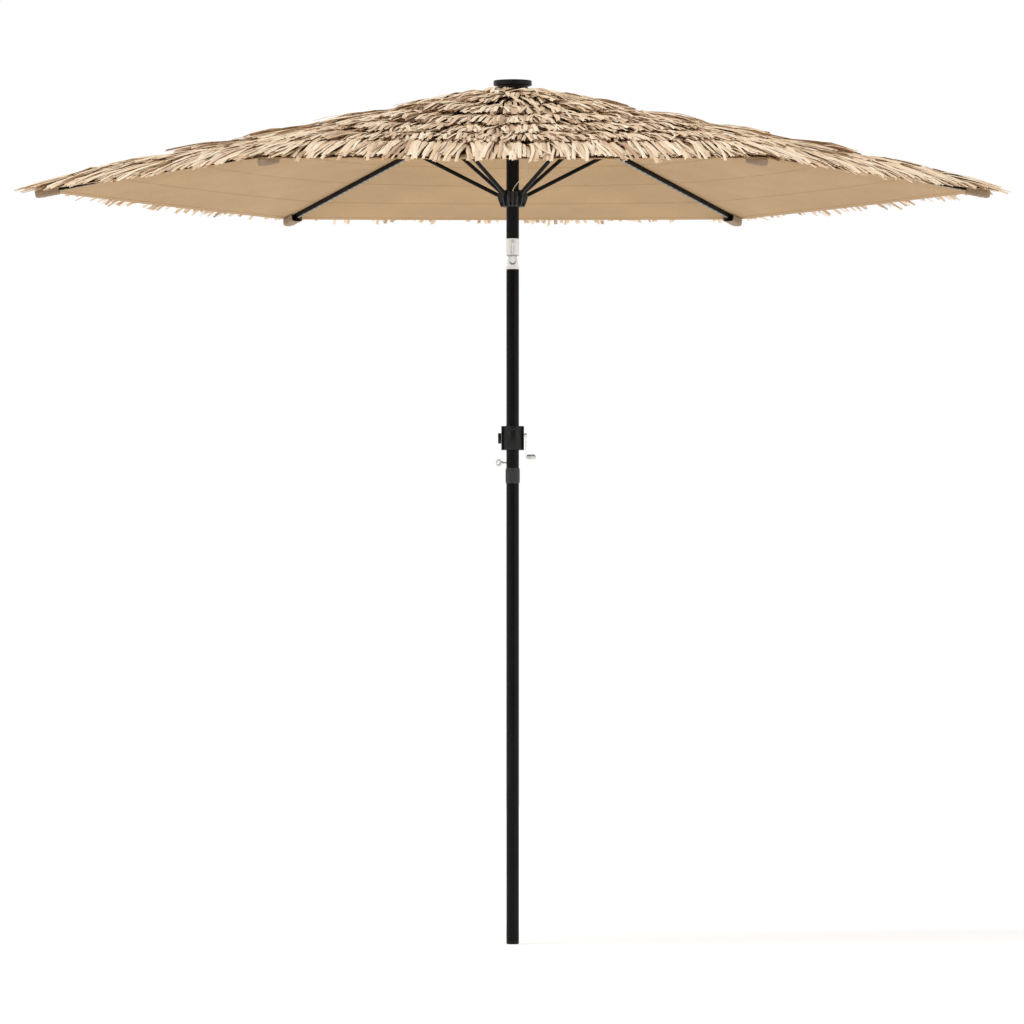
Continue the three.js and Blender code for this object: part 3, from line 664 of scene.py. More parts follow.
def upright(name, outline, low, high):
    """A flat outline in X and Y, extruded along Z."""
    return moved(prism(name, outline, -high, -low), ALONG_Y)


def case_part(name, low, high, edge=0.0, inset=0.0):
    """A slice of the housing: a drum on the pole with a slanted cheek to each side."""
    (near, deep), (far, shallow) = HOUSING_CHEEK
    parts = [rod(name, HOUSING_ROUND - inset, low, high, 0, 96)]
    for side in (-1, 1):
        outline = [(side * near, -deep), (side * (far - inset), inset - shallow),
                   (side * (far - inset), shallow - inset), (side * near, deep)]
        parts.append(upright("cheek", outline if side > 0 else outline[::-1], low, high))
    bore = rod("bore", POLE_RADIUS + CLEARANCE, low - 5, high + 5, 0, 96)
    return carve(parts, [bore, shaft_cut(50)], edge)


def make_housing(plastic, black):
    """A round case on the pole with a flange to each side, under a lid."""
    body = case_part("crank_case", HOUSING_BASE_Z, HOUSING_SEAM_Z - 0.5, CASE_EDGE)
    dress(body, "base", "grey_plastic", plastic, "crank_housing_front", "crank_housing_rear")
    seam = case_part("crank_case_seam", HOUSING_SEAM_Z - 2, HOUSING_SEAM_Z + 2, 0, 1)
    dress(seam, "base", "grey_plastic", black)
    lid = case_part("crank_case_lid", HOUSING_SEAM_Z + 0.5, HOUSING_TOP_Z, CASE_EDGE)
    dress(lid, "base", "grey_plastic", plastic)
    for side, name in ((-1, "left"), (1, "right")):
        near, far = sorted((side * HOUSING_CHEEK[1][0], side * HOUSING_EAR_X))
        ear = brick(f"crank_case_flange_{name}", near, far, -HOUSING_EAR_Y, HOUSING_EAR_Y,
                    HOUSING_BASE_Z, HOUSING_TOP_Z)
        dress(carve([ear], [shaft_cut(50)], CASE_EDGE), "base", "grey_plastic", black)
    back = HOUSING_EAR_X + CLEARANCE
    cap = lathe("crank_cap", [(0, back), (15.8, back), (15.8, back + 9.5, 1.6), (12.5, back + 9.5, 0.5),
                              (12, back + 8.6, 0.5), (7, back + 8.6, 0.5), (6.5, back + 9.5, 0.5),
                              (4, back + 9.5, 0.6), (3.4, back + 7.5), (0, back + 7.5)])
    moved(cap, shift(0, 0, CAP_Z) @ ALONG_MINUS_X)
    dress(cap, "base", "black_plastic", black, "crank_housing_cap")


def make_crank(metal, light, black):
    hub = moved(rod("crank_lever", 4.8, 35.5, 42.8, 0.6), ALONG_X)
    bar = prism("bar", stadium(8, CRANK_THROW + 8, 0, -CRANK_THROW / 2), 38, 41.6)
    moved(bar, Matrix.Rotation(-math.pi / 2, 4, "Z"))
    pin = lathe("pin", [(0, 38), (2.4, 38), (2.4, 67.6), (4.6, 67.6, 0.4), (4.4, 69, 0.6), (0, 69)], 32)
    moved(pin, shift(0, 0, -CRANK_THROW) @ ALONG_X)
    arm = moved(carve([hub, bar, pin], (), 0.5), shift(0, 0, CRANK_Z))
    dress(arm, "crank", "bright_metal", metal, "crank_arm")
    profile = [(2.7, 42.2), (5.4, 42.2, 0.8), (6.1, 46, 2), (7.0, 55, 6), (6.8, 64, 3),
               (5.6, 67.3, 1.2), (2.7, 67.3)]
    grip = lathe("crank_knob", profile, 48, ring=True)
    moved(grip, shift(0, 0, CRANK_Z - CRANK_THROW) @ ALONG_X)
    dress(grip, "crank_grip", "light_plastic", light, "crank_grip")
    strip = moved(brick("crank_knob_strip", 43.2, 66.8, -5, 5, 2.8, 7.4),
                  shift(0, 0, CRANK_Z - CRANK_THROW))
    dress(rounded(strip, 1.4), "crank_grip", "light_plastic", black)


# ---- Tilt joint ----

BARREL_RADIUS = 19.5
RECESS_RADIUS = 11.0
EAR_FACE = 15.4                    # from the middle to the floor of a recess
RIVET_HOLE = 4.8
RIVET_HEAD_RAISE = 3.0
BUTTON_Z = 2088.0


def across(name, radius, low, high, edge=0.0):
    """A rod along Y at the height of the tilt pivot."""
    return moved(rod(name, radius, low, high, edge), shift(0, 0, TILT_PIVOT_Z) @ ALONG_Y)


def make_tilt_fork(cast):
    """A plug with two ears, recessed around the rivet."""
    plug = rod("tilt_yoke", PLUG_RADIUS, 1992, TILT_BASE_Z + 1)
    below = brick("below", -THROUGH, THROUGH, -THROUGH, THROUGH, 1980, TILT_PIVOT_Z)
    keep = carve([below, across("round", 15.8, -THROUGH - 1, THROUGH + 1)])
    ears = carve([rod("barrel", BARREL_RADIUS, TILT_BASE_Z, TILT_PIVOT_Z + 16)], within=[keep])
    cuts = [brick("slot", -THROUGH, THROUGH, -11, 11, 2026.5, 2080),
            across("hole", RIVET_HOLE, -THROUGH, THROUGH),
            across("front", RECESS_RADIUS, -THROUGH, -EAR_FACE),
            across("rear", RECESS_RADIUS, EAR_FACE, THROUGH), rod("bore", 5, 1980, 2040)]
    yoke = carve([plug, ears], cuts, 0.7)
    dress(yoke, "base", "cast_tilt", cast, "tilt_fork")


def make_tilt_pin(metal, shadow):
    """A rivet whose heads sit high in their recesses, over dark grey discs that paint the shadow on each
    recess floor.
    """
    shank = across("tilt_rivet", 4.5, -16, 16)
    heads = [across("head", 8.4, low, low + 2.4, 0.8) for low in (-18.6, 16.2)]
    for head in heads:
        moved(head, shift(0, 0, RIVET_HEAD_RAISE))
    dress(carve([shank, *heads]), "base", "bright_metal", metal, "tilt_pin")
    for low, name in ((-16.1, "front"), (15.5, "rear")):
        # Painted shadow: a grey disc on each recess floor, showing as a dark crescent below the raised head.
        shadow_disc = across(f"tilt_recess_shadow_{name}", 9.3, low, low + 0.6)
        hole = across("hole", 4.6, low - 2, low + 2)
        dress(carve([shadow_disc], [hole]), "base", "cast_tilt", shadow)


def make_tilt_head(cast, light, grey):
    """The barrel above the rivet, with its tongue, a grey band of painted shade round its foot and the push
    button.
    """
    top = TILT_TOP_Z
    barrel = lathe("tilt_barrel", [(0, 2062), (BARREL_RADIUS, 2062, 1.2), (BARREL_RADIUS, top - 4),
                                   (18.7, top - 3.5), (18.7, top - 3), (BARREL_RADIUS, top - 2.6),
                                   (BARREL_RADIUS, top, 0.6), (0, top)])
    plug = rod("plug", PLUG_RADIUS, top - 1, 2140)
    tongue = brick("tongue", -13, 13, -10.6, 10.6, TILT_PIVOT_Z, 2063)
    end = across("end", 13, -10.6, 10.6)
    pocket = prism("pocket", stadium(12.6, 36.6, 0, BUTTON_Z), -THROUGH, -8)
    cuts = [across("hole", RIVET_HOLE, -THROUGH, THROUGH), pocket, rod("bore", 5, 2070, 2150)]
    head = carve([barrel, plug, tongue, end], cuts, 0.6)
    dress(head, "mast", "cast_tilt", cast, "tilt_head")
    # Painted shade: the grey band stands for the shadowed gap under the foot of the barrel.
    band = rod("tilt_shade_band", 18.4, 2058.6, 2061.9, 0.5)
    space = brick("space", -13.6, 13.6, -10.9, 10.9, 2050, 2065)
    dress(carve([band], [space]), "mast", "cast_tilt", grey)
    button = prism("tilt_push", stadium(12, 36, 0, BUTTON_Z), -20.6, -13)
    dimple = lathe("dimple", [(0, -4), (12, -1), (14, 6), (0, 6)], 48)
    moved(dimple, shift(0, -25.4, BUTTON_Z - 7) @ ALONG_Y)
    dress(carve([button], [dimple], 0.5), "tilt_button", "light_plastic", light, "tilt_button")


# ---- Mast, crown and finial ----

PULLEY_X = 6.0
PULLEY_Z = 2484.0
HUB_STEP_Z = 2508.0                # where the crown's flange starts above its skirt
RIB_SLOT = 6.6                     # half the width of a slot for a rib or a strut
SWITCH_Y = 51.0


def pulley_axis():
    return shift(PULLEY_X, 0, PULLEY_Z) @ ALONG_Y


def make_mast(coat, metal, light):
    wall = pole_tube("mast_tube", TILT_TOP_Z + CLEARANCE, MAST_TOP_Z)
    slot = moved(prism("slot", stadium(8, 26, 0, 2450), 0, 30), Matrix.Rotation(-math.pi / 2, 4, "Z"))
    hole = moved(rod("hole", 2.3, -THROUGH, THROUGH), pulley_axis())
    dress(carve([wall], [slot, hole]), "mast", "steel_tube", coat, "mast_pole")
    wheel = lathe("pulley_wheel", [(2.3, -3), (10, -3, 0.4), (10, -2, 0.3), (7.6, -0.6, 1), (7.6, 0.6, 1),
                                   (10, 2, 0.3), (10, 3, 0.4), (2.3, 3)], 48, ring=True)
    moved(wheel, pulley_axis())
    dress(wheel, "pulley", "light_plastic", light, "cord_pulley")
    pin = moved(rod("pulley_axle", 2, -18.6, 18.6, 0.3), pulley_axis())
    dress(pin, "mast", "bright_metal", metal, "pulley_pin")


def make_crown(black, metal):
    flange = lathe("crown_body", [(0, HUB_STEP_Z), (22.4, HUB_STEP_Z), (40, HUB_STEP_Z, 1.2),
                                  (40, 2526.8, 1.2), (0, 2526.8)])
    skirt = rod("skirt", 22.4, 2488, HUB_STEP_Z + 1, 1)
    cuts = [rod("bore", 19.3, 2480, 2515.3), rod("stem", 6.3, 2510, 2532)]
    for number in RIBS:
        cuts.append(moved(brick("slot", 22.8, 50, -RIB_SLOT, RIB_SLOT, 2503, 2532), turn(number)))
    body = carve([flange, skirt], cuts, 0.5)
    dress(body, "mast", "black_plastic", black, "crown_hub")
    circle = [(RIB_PIVOT_R + 1.9 * math.cos(a), RIB_PIVOT_Z + 1.9 * math.sin(a))
              for a in np.linspace(0, 2 * math.pi, 13)[:-1]]
    wire = lathe("crown_wire", circle, 72, ring=True)
    dress(wire, "mast", "bright_metal", metal, "crown_ring")
    cap = lathe("crown_lid", [(6.6, 2529.2), (38.5, 2529.2), (38.5, 2531, 1), (30, 2534.5, 8), (6.6, 2538)],
                ring=True)
    dress(cap, "mast", "black_plastic", black, "crown_cap")


def make_finial(black, glass, light):
    body = lathe("lamp_body", [(0, 2519), (6, 2519), (6, 2540, 2), (20, 2546, 6), (44, 2558, 3),
                               (45, 2560, 1), (46.5, 2569.2), (0, 2569.2)], 96)
    dress(body, "mast", "black_plastic", black, "finial_base")
    disc = lathe("lamp_disc", [(0, 2569.5), (57.5, 2569.5, 4), (57.5, 2585, 1.6), (51.4, 2585, 0.3),
                               (51.4, 2583.3), (0, 2583.3)], 128)
    hole = moved(rod("hole", 3.8, 2560, 2575), shift(0, SWITCH_Y, 0))
    dress(carve([disc], [hole]), "mast", "black_plastic", black, "finial_disc")
    panel = rod("solar_window", 51.1, 2583.6, 2585, 0.4, 128)
    dress(panel, "mast", "solar_glass", glass, "solar_panel")
    button = moved(rod("lamp_switch", 3.5, 2566.8, 2573, 0.6), shift(0, SWITCH_Y, 0))
    dress(button, "light_switch", "light_plastic", light, "light_switch")


# ---- Runner, ribs and struts ----

RUNNER_LOW = 2206.0
RUNNER_TOP = 2250.0


def make_runner(black, plastic):
    """A sleeve with six forked ears, two bolt heads on each, and a ring on top."""
    low, top = RUNNER_LOW, RUNNER_TOP
    sleeve = lathe("runner_body", [(0, low), (23.5, low, 1), (28.5, low + 14, 3), (28.5, top, 1),
                                   (0, top)], 72)
    ear = fillet([(24, top), (24, low + 18), (26.4, low, 4), (35.6, low, 4.5), (45, low + 26, 6),
                  (45, top - 4, 2), (41, top, 2)])
    joined, cuts = [sleeve], [rod("bore", 21.5, low - 6, top + 6, 0, 72)]
    for number in RIBS:
        joined.append(moved(prism("ear", ear, -10.5, 10.5), turn(number)))
        cuts.append(moved(brick("slot", 29, 60, -RIB_SLOT, RIB_SLOT, low - 6, top + 6), turn(number)))
    hub = carve(joined, cuts, 0.7)
    dress(hub, "runner", "grey_plastic", plastic, "runner_hub")
    for number in RIBS:
        for side in (-1, 1):
            head = rod(half_name("runner_bolt", number, side), 4, 10.3, 12.8, 0.7, 24)
            facing = ALONG_Y if side > 0 else ALONG_MINUS_Y
            moved(head, turn(number) @ shift(31, 0, low + 7) @ facing)
            dress(head, "runner", "black_plastic", black)
    base = top + CLEARANCE
    collar = lathe("runner_ring", [(21.5, base), (24.5, base, 0.5), (24.5, top + 7, 1), (21.5, top + 7, 0.5)],
                   ring=True)
    dress(collar, "runner", "black_plastic", black, "runner_collar")


def rib_section(inset=0.0):
    w = RIB_WIDTH / 2 - inset
    h = RIB_HEIGHT / 2 - inset
    return fillet([(w, -h, 2.4), (w, h, 2.4), (-w, h, 2.4), (-w, -h, 2.4)])


def rib_mesh():
    """A rolled rectangular tube along +X with an eye at its inner end."""
    outer, inner = rib_section(), rib_section(0.8)
    count = len(outer)
    rings = [(outer, RIB_START), (outer, RIB_END), (inner, RIB_END), (inner, RIB_START)]
    vertices = [(x, y, z) for outline, x in rings for y, z in outline]
    faces = []
    for i in range(4):
        j = (i + 1) % 4
        for k in range(count):
            after = (k + 1) % count
            faces.append((i * count + k, j * count + k, j * count + after, i * count + after))
    tube = mesh_piece("rib_pattern", vertices, faces)
    eye = moved(rod("eye", 6.5, -4.5, 4.5, 0.6), ALONG_Y)
    tang = brick("tang", 0, 34, -4.5, 4.5, -6.3, 6.3)
    hole = moved(rod("hole", 2.6, -20, 20), ALONG_Y)
    return carve([tube, eye, tang], [hole])


STRIP_START = 432.0
STRIP_END = 1346.0


def strip_mesh():
    """A silicone strip with a domed face, under a rib."""
    section = fillet([(-3.6, 0), (-3.6, -1.8, 1.3), (3.6, -1.8, 1.3), (3.6, 0)])
    count = len(section)
    ends = (STRIP_START, STRIP_END)
    vertices = [(x, y, z - RIB_HEIGHT / 2) for x in ends for y, z in section]
    faces = [tuple(reversed(range(count))), tuple(range(count, 2 * count))]
    for k in range(count):
        after = (k + 1) % count
        faces.append((k, after, after + count, k + count))
    piece = smooth(mesh_piece("strip_pattern", vertices, faces))
    layer = piece.data.uv_layers.new(name="along")
    for loop in piece.data.loops:
        place = piece.data.vertices[loop.vertex_index].co
        layer.data[loop.index].uv = (place.x, place.y)
    return piece


def make_ribs(coat, strip):
    for number, rib in on_each_rib("rib_tube", rib_mesh()):
        dress(rib, f"rib_{number}", "steel_tube", coat, f"rib_{number}")
        bracket = refined(f"rib_bracket_{number}", "_plate", 0.4)
        dress(bracket, f"rib_{number}", "steel_tube", coat, f"rib_bracket_{number}")
    for number, piece in on_each_rib("light_strip", strip_mesh()):
        dress(piece, f"rib_{number}", "light_plastic", strip)


def strut_reach():
    """From a strut's lower pin to its upper one, outward and upward."""
    top_r = RIB_PIVOT_R + BRACKET_S * math.cos(RIB_SLOPE) - BRACKET_DROP * math.sin(RIB_SLOPE)
    top_z = RIB_PIVOT_Z - BRACKET_S * math.sin(RIB_SLOPE) - BRACKET_DROP * math.cos(RIB_SLOPE)
    return Vector((top_r - STRUT_PIN_R, top_z - STRUT_PIN_Z))


def strut_place(number):
    reach = strut_reach()
    lean = Matrix.Rotation(-math.atan2(reach.y, reach.x), 4, "Y")
    return turn(number) @ shift(STRUT_PIN_R, 0, STRUT_PIN_Z) @ lean


def make_struts(coat):
    """Round tubes pressed flat at both ends around their pins."""
    length = strut_reach().length
    profile = [(0, 8), (5, 8, 1.5), (6, 15, 8), (6, length - 15, 8), (5, length - 8, 1.5), (0, length - 8)]
    bar = moved(lathe("strut_pattern", profile, 40), ALONG_X)
    eyes = [moved(rod("eye", 6, -4.8, 4.8, 0.6), shift(x, 0, 0) @ ALONG_Y) for x in (0, length)]
    necks = [prism("neck", fillet([(x - 11, -4.6), (x + 11, -4.6), (x + 11, 4.6), (x - 11, 4.6)]), -4.6, 4.6)
             for x in (9, length - 9)]
    holes = [moved(rod("hole", 2.9, -20, 20, 0, 24), shift(x, 0, 0) @ ALONG_Y) for x in (0, length)]
    pattern = carve([bar, *eyes, *necks], holes, 0.5)
    for number, strut in on_each_rib("strut_tube", pattern, strut_place):
        dress(strut, f"strut_{number}", "steel_tube", coat, f"strut_{number}")


# ---- Tip pockets ----

POCKET_START = 1355.0
POCKET_END = 1427.0
POCKET_HALF_WIDTH = 17.0
POCKET_LOW = -17.3
POCKET_HIGH = 5.7


def pocket_mesh():
    """A sewn pouch around the rib's end: flat at its mouth, rounded and slightly crumpled at its tip."""
    along, around = 26, 40
    vertices, faces = [], []
    middle = (POCKET_LOW + POCKET_HIGH) / 2
    tall = (POCKET_HIGH - POCKET_LOW) / 2
    for i in range(along + 1):
        t = i / along
        x = POCKET_START + (POCKET_END - POCKET_START) * math.sin(t * math.pi / 2)
        shrink = (1 - max(0.0, (x - 1395) / (POCKET_END - 1395)) ** 2.6) ** (1 / 2.6)
        lip = 1.05 if i == 0 else 1.0
        for k in range(around):
            angle = 2 * math.pi * k / around
            c, s = math.cos(angle), math.sin(angle)
            y = POCKET_HALF_WIDTH * shrink * lip * math.copysign(abs(c) ** 0.45, c)
            z = tall * (0.55 + 0.45 * shrink) * math.copysign(abs(s) ** 0.5, s)
            wrinkle = 0.5 * math.sin(0.35 * x + 3 * angle) * math.sin(math.pi * t)
            vertices.append((x, y + wrinkle * c, middle + z + wrinkle * s))
    for i in range(along):
        for k in range(around):
            after = (k + 1) % around
            a, b = i * around, (i + 1) * around
            faces.append((a + k, b + k, b + after, a + after))
    faces.append(tuple(along * around + k for k in range(around)))
    piece = mesh_piece("pocket_pattern", vertices, faces)
    layer = piece.data.uv_layers.new(name="cloth")
    for loop in piece.data.loops:
        place = piece.data.vertices[loop.vertex_index].co
        layer.data[loop.index].uv = (place.x, place.y + place.z)
    return smooth(piece)


def make_pockets(material):
    for number, pouch in on_each_rib("tip_pouch", pocket_mesh()):
        wall = pouch.modifiers.new("wall", "SOLIDIFY")
        wall.thickness = 1.4 * MM
        wall.offset = -1
        apply_modifiers(pouch)
        dress(pouch, f"rib_{number}", "pocket_cloth", material, f"tip_pocket_{number}")


# ---- Canopy cloth ----

CROWN_HEIGHT = RIB_PIVOT_Z + RIB_PIVOT_R * math.tan(RIB_SLOPE) + FABRIC_LIFT
FALL = math.tan(RIB_SLOPE)
SAG = 9.0                          # of the sheet between two ribs, halfway down
HEM_SAG = 3.0
HEM_DRAW = 2.0
CLOTH_THICKNESS = 1.0
HEM_BAND = 22.0
SEAM_HALF = 3.0
ROW_GAPS = (185, 385, 580, 775, 970, 1165)
PANEL_SLOPE = math.atan(FALL / math.cos(HALF_SECTOR))
PANEL_REACH = CANOPY_HEM * math.cos(HALF_SECTOR)
ROW_ROOTS = tuple(PANEL_REACH - gap * math.cos(PANEL_SLOPE) for gap in ROW_GAPS)


def cloth_height(x, y):
    """Height of the sheet over a point, in one rib's sector with the rib along +X."""
    side = np.abs(y)
    reach = x * math.cos(HALF_SECTOR) + side * math.sin(HALF_SECTOR)
    offset = x * math.sin(HALF_SECTOR) - side * math.cos(HALF_SECTOR)
    share = np.clip(offset / np.maximum(reach * math.tan(HALF_SECTOR), 1e-6), 0, 1)
    hexagonal = reach / math.cos(HALF_SECTOR)
    down = np.clip(hexagonal / CANOPY_HEM, 0, 1)
    sag = (SAG * np.sin(math.pi * down) + HEM_SAG * down ** 2) * (1 - share ** 2)
    return CROWN_HEIGHT - FALL * hexagonal - sag


def panel_point(reach, offset, side):
    """Sector coordinates of a point at a distance out from the axis and across from mid-panel."""
    c, s = math.cos(HALF_SECTOR), math.sin(HALF_SECTOR)
    return reach * c + offset * s, side * (reach * s - offset * c)


def thick_sheet(name, top, bottom, u, v):
    """A closed sheet between two grids of points, with cloth coordinates in metres."""
    rows, columns, _ = top.shape
    points = np.concatenate([top.reshape(-1, 3), bottom.reshape(-1, 3)])
    upper = np.arange(rows * columns).reshape(rows, columns)
    lower = upper + rows * columns

    def quads(a, b, c, d):
        return np.stack([a, b, c, d], axis=-1).reshape(-1, 4)

    def wall(a, b):
        return quads(a[:-1], b[:-1], b[1:], a[1:])

    faces = [
        quads(upper[:-1, :-1], upper[1:, :-1], upper[1:, 1:], upper[:-1, 1:]),
        quads(lower[:-1, :-1], lower[:-1, 1:], lower[1:, 1:], lower[1:, :-1]),
        wall(upper[:, 0], lower[:, 0]), wall(lower[:, -1], upper[:, -1]),
        wall(lower[0], upper[0]), wall(upper[-1], lower[-1]),
    ]
    quad_list = np.concatenate(faces)
    mesh = array_mesh(name, points, quad_list)
    add_uv(mesh, "cloth", np.tile(np.stack([u, v], axis=-1).reshape(-1, 2), (2, 1)), quad_list)
    return add_object(name, mesh)


def array_mesh(name, points, quad_list):
    """A mesh of quads from arrays, points in millimetres."""
    mesh = bpy.data.meshes.new(name)
    mesh.vertices.add(len(points))
    mesh.vertices.foreach_set("co", (points * MM).astype(np.float32).ravel())
    mesh.loops.add(quad_list.size)
    mesh.loops.foreach_set("vertex_index", quad_list.astype(np.int32).ravel())
    mesh.polygons.add(len(quad_list))
    mesh.polygons.foreach_set("loop_start", np.arange(0, quad_list.size, 4, dtype=np.int32))
    mesh.update(calc_edges=True)
    return mesh


def add_uv(mesh, name, per_point, quad_list):
    layer = mesh.uv_layers.new(name=name)
    layer.uv.foreach_set("vector", per_point[quad_list.ravel()].astype(np.float32).ravel())


def cloth_rows():
    """Distances from the axis for the sheet's grid, with extra lines at each stitched seam and the hem."""
    rows = list(np.linspace(CANOPY_INNER * math.cos(HALF_SECTOR), PANEL_REACH, 44))
    for root in ROW_ROOTS:
        rows += [root - SEAM_HALF, root - SEAM_HALF + 1, root + SEAM_HALF - 1, root + SEAM_HALF]
    band = PANEL_REACH - HEM_BAND
    rows += [band, band + 1.2, PANEL_REACH - 3, PANEL_REACH - 1]
    return np.array(sorted(rows))


def cloth_depth(reach):
    """Thickness of the sheet: doubled along the hem and over each stitched seam."""
    depth = np.full_like(reach, CLOTH_THICKNESS)
    for root in ROW_ROOTS:
        depth += np.where(np.abs(reach - root) < SEAM_HALF - 0.5, 0.9, 0.0)
    depth += np.where(reach > PANEL_REACH - HEM_BAND + 0.5, 1.0, 0.0)
    return depth


def half_panel(number, side):
    """The sheet from rib to mid-panel, on one side of a rib."""
    reach = cloth_rows()[:, None]
    share = np.linspace(0, 1, 25)[None, :]
    if side > 0:
        share = share[:, ::-1]
    drawn = reach - HEM_DRAW * (reach / PANEL_REACH) ** 6 * (1 - share ** 2)
    offset = drawn * math.tan(HALF_SECTOR) * share
    x, y = panel_point(drawn, offset, side)
    top = np.stack([x, y, cloth_height(x, y)], axis=-1)
    bottom = top.copy()
    bottom[..., 2] -= cloth_depth(reach)
    u = np.broadcast_to(offset, x.shape) * MM
    v = np.broadcast_to((PANEL_REACH - reach) / math.cos(PANEL_SLOPE), x.shape) * MM
    sheet = thick_sheet(half_name("cloth", number, side), top, bottom, u, v)
    return smooth(moved(sheet, turn(number)))


# ---- Thatch ----

RIBBON_STEPS = 7
RIBBON_SPACING = 2.7               # along a row, between the roots of ribbons
RIBBON_LENGTH = 218.0
HIP_RIBBONS = 26                   # over each rib, in each row
UNDER_SHARE = 0.45                 # of a row's ribbons, which lie under the rest
FAN = 0.85                         # 1 would lay every ribbon straight out from the crown
ROW_LIFT = 38.0
HIP_LIFT = 47.0
ROOT_SHARE = 0.62                  # of a ribbon's height, at its root
ROW_PEAK = 0.7                     # of its length, where a ribbon lies highest
ROW_END = 0.92                     # of its height, at its end
HEM_PEAK = 0.25                    # the same for the lowest row, which falls to the hem
HEM_END = 0.28
FRINGE_SHARE = 0.28                # of the lowest row, which hangs well past the hem
TIP_REACH = 36.0                   # extra length of the lowest ribbons over each rib
DROOP = 0.22                       # how steeply ribbons fall once they are past the hem
HIP_SCALES = (0.62, 0.78, 1, 1, 1, 1, 1)   # heights over a rib, from the lowest row up
HIP_TIP_PEAK = 0.5
HIP_TIP_END = 0.6
CROWN_ROOT = 42.0


def ribbon_height(t, lift, peak, end):
    """Height over the sheet along ribbons: up to a peak, then down to their ends."""
    up = ROOT_SHARE + (1 - ROOT_SHARE) * np.minimum(t / peak, 1)
    down = (1 - end) * np.clip((t - peak) / (1 - peak), 0, 1) ** 1.2
    return lift[:, None] * (up - down)


def ribbon_strips(rng, roots, heading, length, width, lift, curl, peak=ROW_PEAK, end=ROW_END):
    """Points of many ribbons as an array: ribbon, step along it, left edge / crease / right edge, XYZ."""
    count = len(length)
    t = np.linspace(0, 1, RIBBON_STEPS + 1)

    def waves(low, high):
        turns = t * rng.uniform(low, high, count)[:, None] + rng.uniform(0, 1, count)[:, None]
        return np.sin(2 * math.pi * turns)

    bend = rng.normal(0, 1, count)[:, None] * curl[:, None]
    angle = heading[:, None] + bend * (t - 0.3) + 0.12 * curl[:, None] * waves(0.6, 1.4)
    step = length[:, None] / RIBBON_STEPS
    start = np.zeros((count, 1))
    x = roots[:, 0:1] + np.concatenate([start, np.cumsum(np.cos(angle[:, :-1]) * step, axis=1)], axis=1)
    y = roots[:, 1:2] + np.concatenate([start, np.cumsum(np.sin(angle[:, :-1]) * step, axis=1)], axis=1)
    ripple = rng.uniform(0.02, 0.08, count)[:, None] * lift[:, None] * waves(0.8, 2.4)
    height = ribbon_height(t, lift, peak, end) + ripple
    twist = rng.normal(0, 0.2, count)[:, None] + rng.normal(0, 0.3, count)[:, None] * (t - 0.4)
    taper = (1 - 2 * np.clip(0.15 - t, 0, 1)) * (1 - rng.uniform(0, 0.18, count)[:, None] * t ** 3)
    half = 0.5 * width[:, None] * taper
    crease = half * rng.uniform(0.2, 0.5, count)[:, None]
    flat = np.stack([-np.sin(angle), np.cos(angle), np.zeros_like(angle)], axis=-1)
    up = np.zeros_like(flat)
    up[..., 2] = 1
    outward = np.cos(twist)[..., None] * flat + np.sin(twist)[..., None] * up
    upward = -np.sin(twist)[..., None] * flat + np.cos(twist)[..., None] * up
    return x, y, height, outward * half[..., None], upward * crease[..., None]


def row_ribbons(rng, side, root_reach, scale):
    """One row of ribbons on half a panel, in tufts that share a lean and a height."""
    width_here = root_reach * math.tan(HALF_SECTOR)
    count = max(int(width_here / RIBBON_SPACING), 12)
    offset = (np.arange(count) + rng.uniform(0, 1, count)) / count * width_here
    reach = root_reach + np.clip(rng.normal(0, 7, count), -16, 8)
    tuft = (offset / rng.uniform(24, 34)).astype(int)
    tufts = tuft.max() + 1
    lean = rng.normal(0, 0.07, tufts)[tuft] + rng.normal(0, 0.06, count)
    stray = rng.uniform(0, 1, count) < 0.1
    lean = np.where(stray, lean * 3, lean)
    x, y = panel_point(reach, offset, side)
    heading = side * (HALF_SECTOR - FAN * np.arctan2(offset, reach)) + lean
    length = rng.normal(RIBBON_LENGTH, 14, count) + rng.normal(0, 8, tufts)[tuft]
    under = rng.uniform(0, 1, count) < UNDER_SHARE
    height = np.where(under, rng.uniform(0.3, 0.65, count), rng.uniform(0.78, 1, count))
    lift = ROW_LIFT * scale * height * rng.uniform(0.85, 1.1, tufts)[tuft]
    width = rng.uniform(9, 14.5, count)
    curl = 0.1 + 0.25 * rng.uniform(0, 1, count) ** 3
    return np.stack([x, y], axis=-1), heading, length, width, lift, curl


def hip_ribbons(rng, side, root_reach, scale):
    """Ribbons that lie along the rib and close the ridge between two panels."""
    count = HIP_RIBBONS
    radius = root_reach / math.cos(HALF_SECTOR) + rng.normal(0, 14, count)
    away = rng.uniform(0, 1, count) ** 1.3 * 46
    heading = side * rng.uniform(0.0, 0.14, count) + rng.normal(0, 0.07, count)
    roots = np.stack([radius, side * away], axis=-1)
    length = rng.normal(RIBBON_LENGTH + 12, 20, count)
    lift = HIP_LIFT * scale * rng.uniform(0.45, 1, count)
    width = rng.uniform(9, 14, count)
    curl = 0.1 + 0.2 * rng.uniform(0, 1, count)
    return roots, heading, length, width, lift, curl


def hem_droop(x, y):
    reach = x * math.cos(HALF_SECTOR) + np.abs(y) * math.sin(HALF_SECTOR)
    return DROOP * np.maximum(reach - PANEL_REACH, 0)


def fringe_length(rng, count):
    """Lengths in the lowest row: most end close to the hem and some hang past it."""
    near = rng.normal(-13, 9, count)
    past = rng.uniform(12, 40, count)
    return ROW_GAPS[0] + np.where(rng.uniform(0, 1, count) < FRINGE_SHARE, past, near)


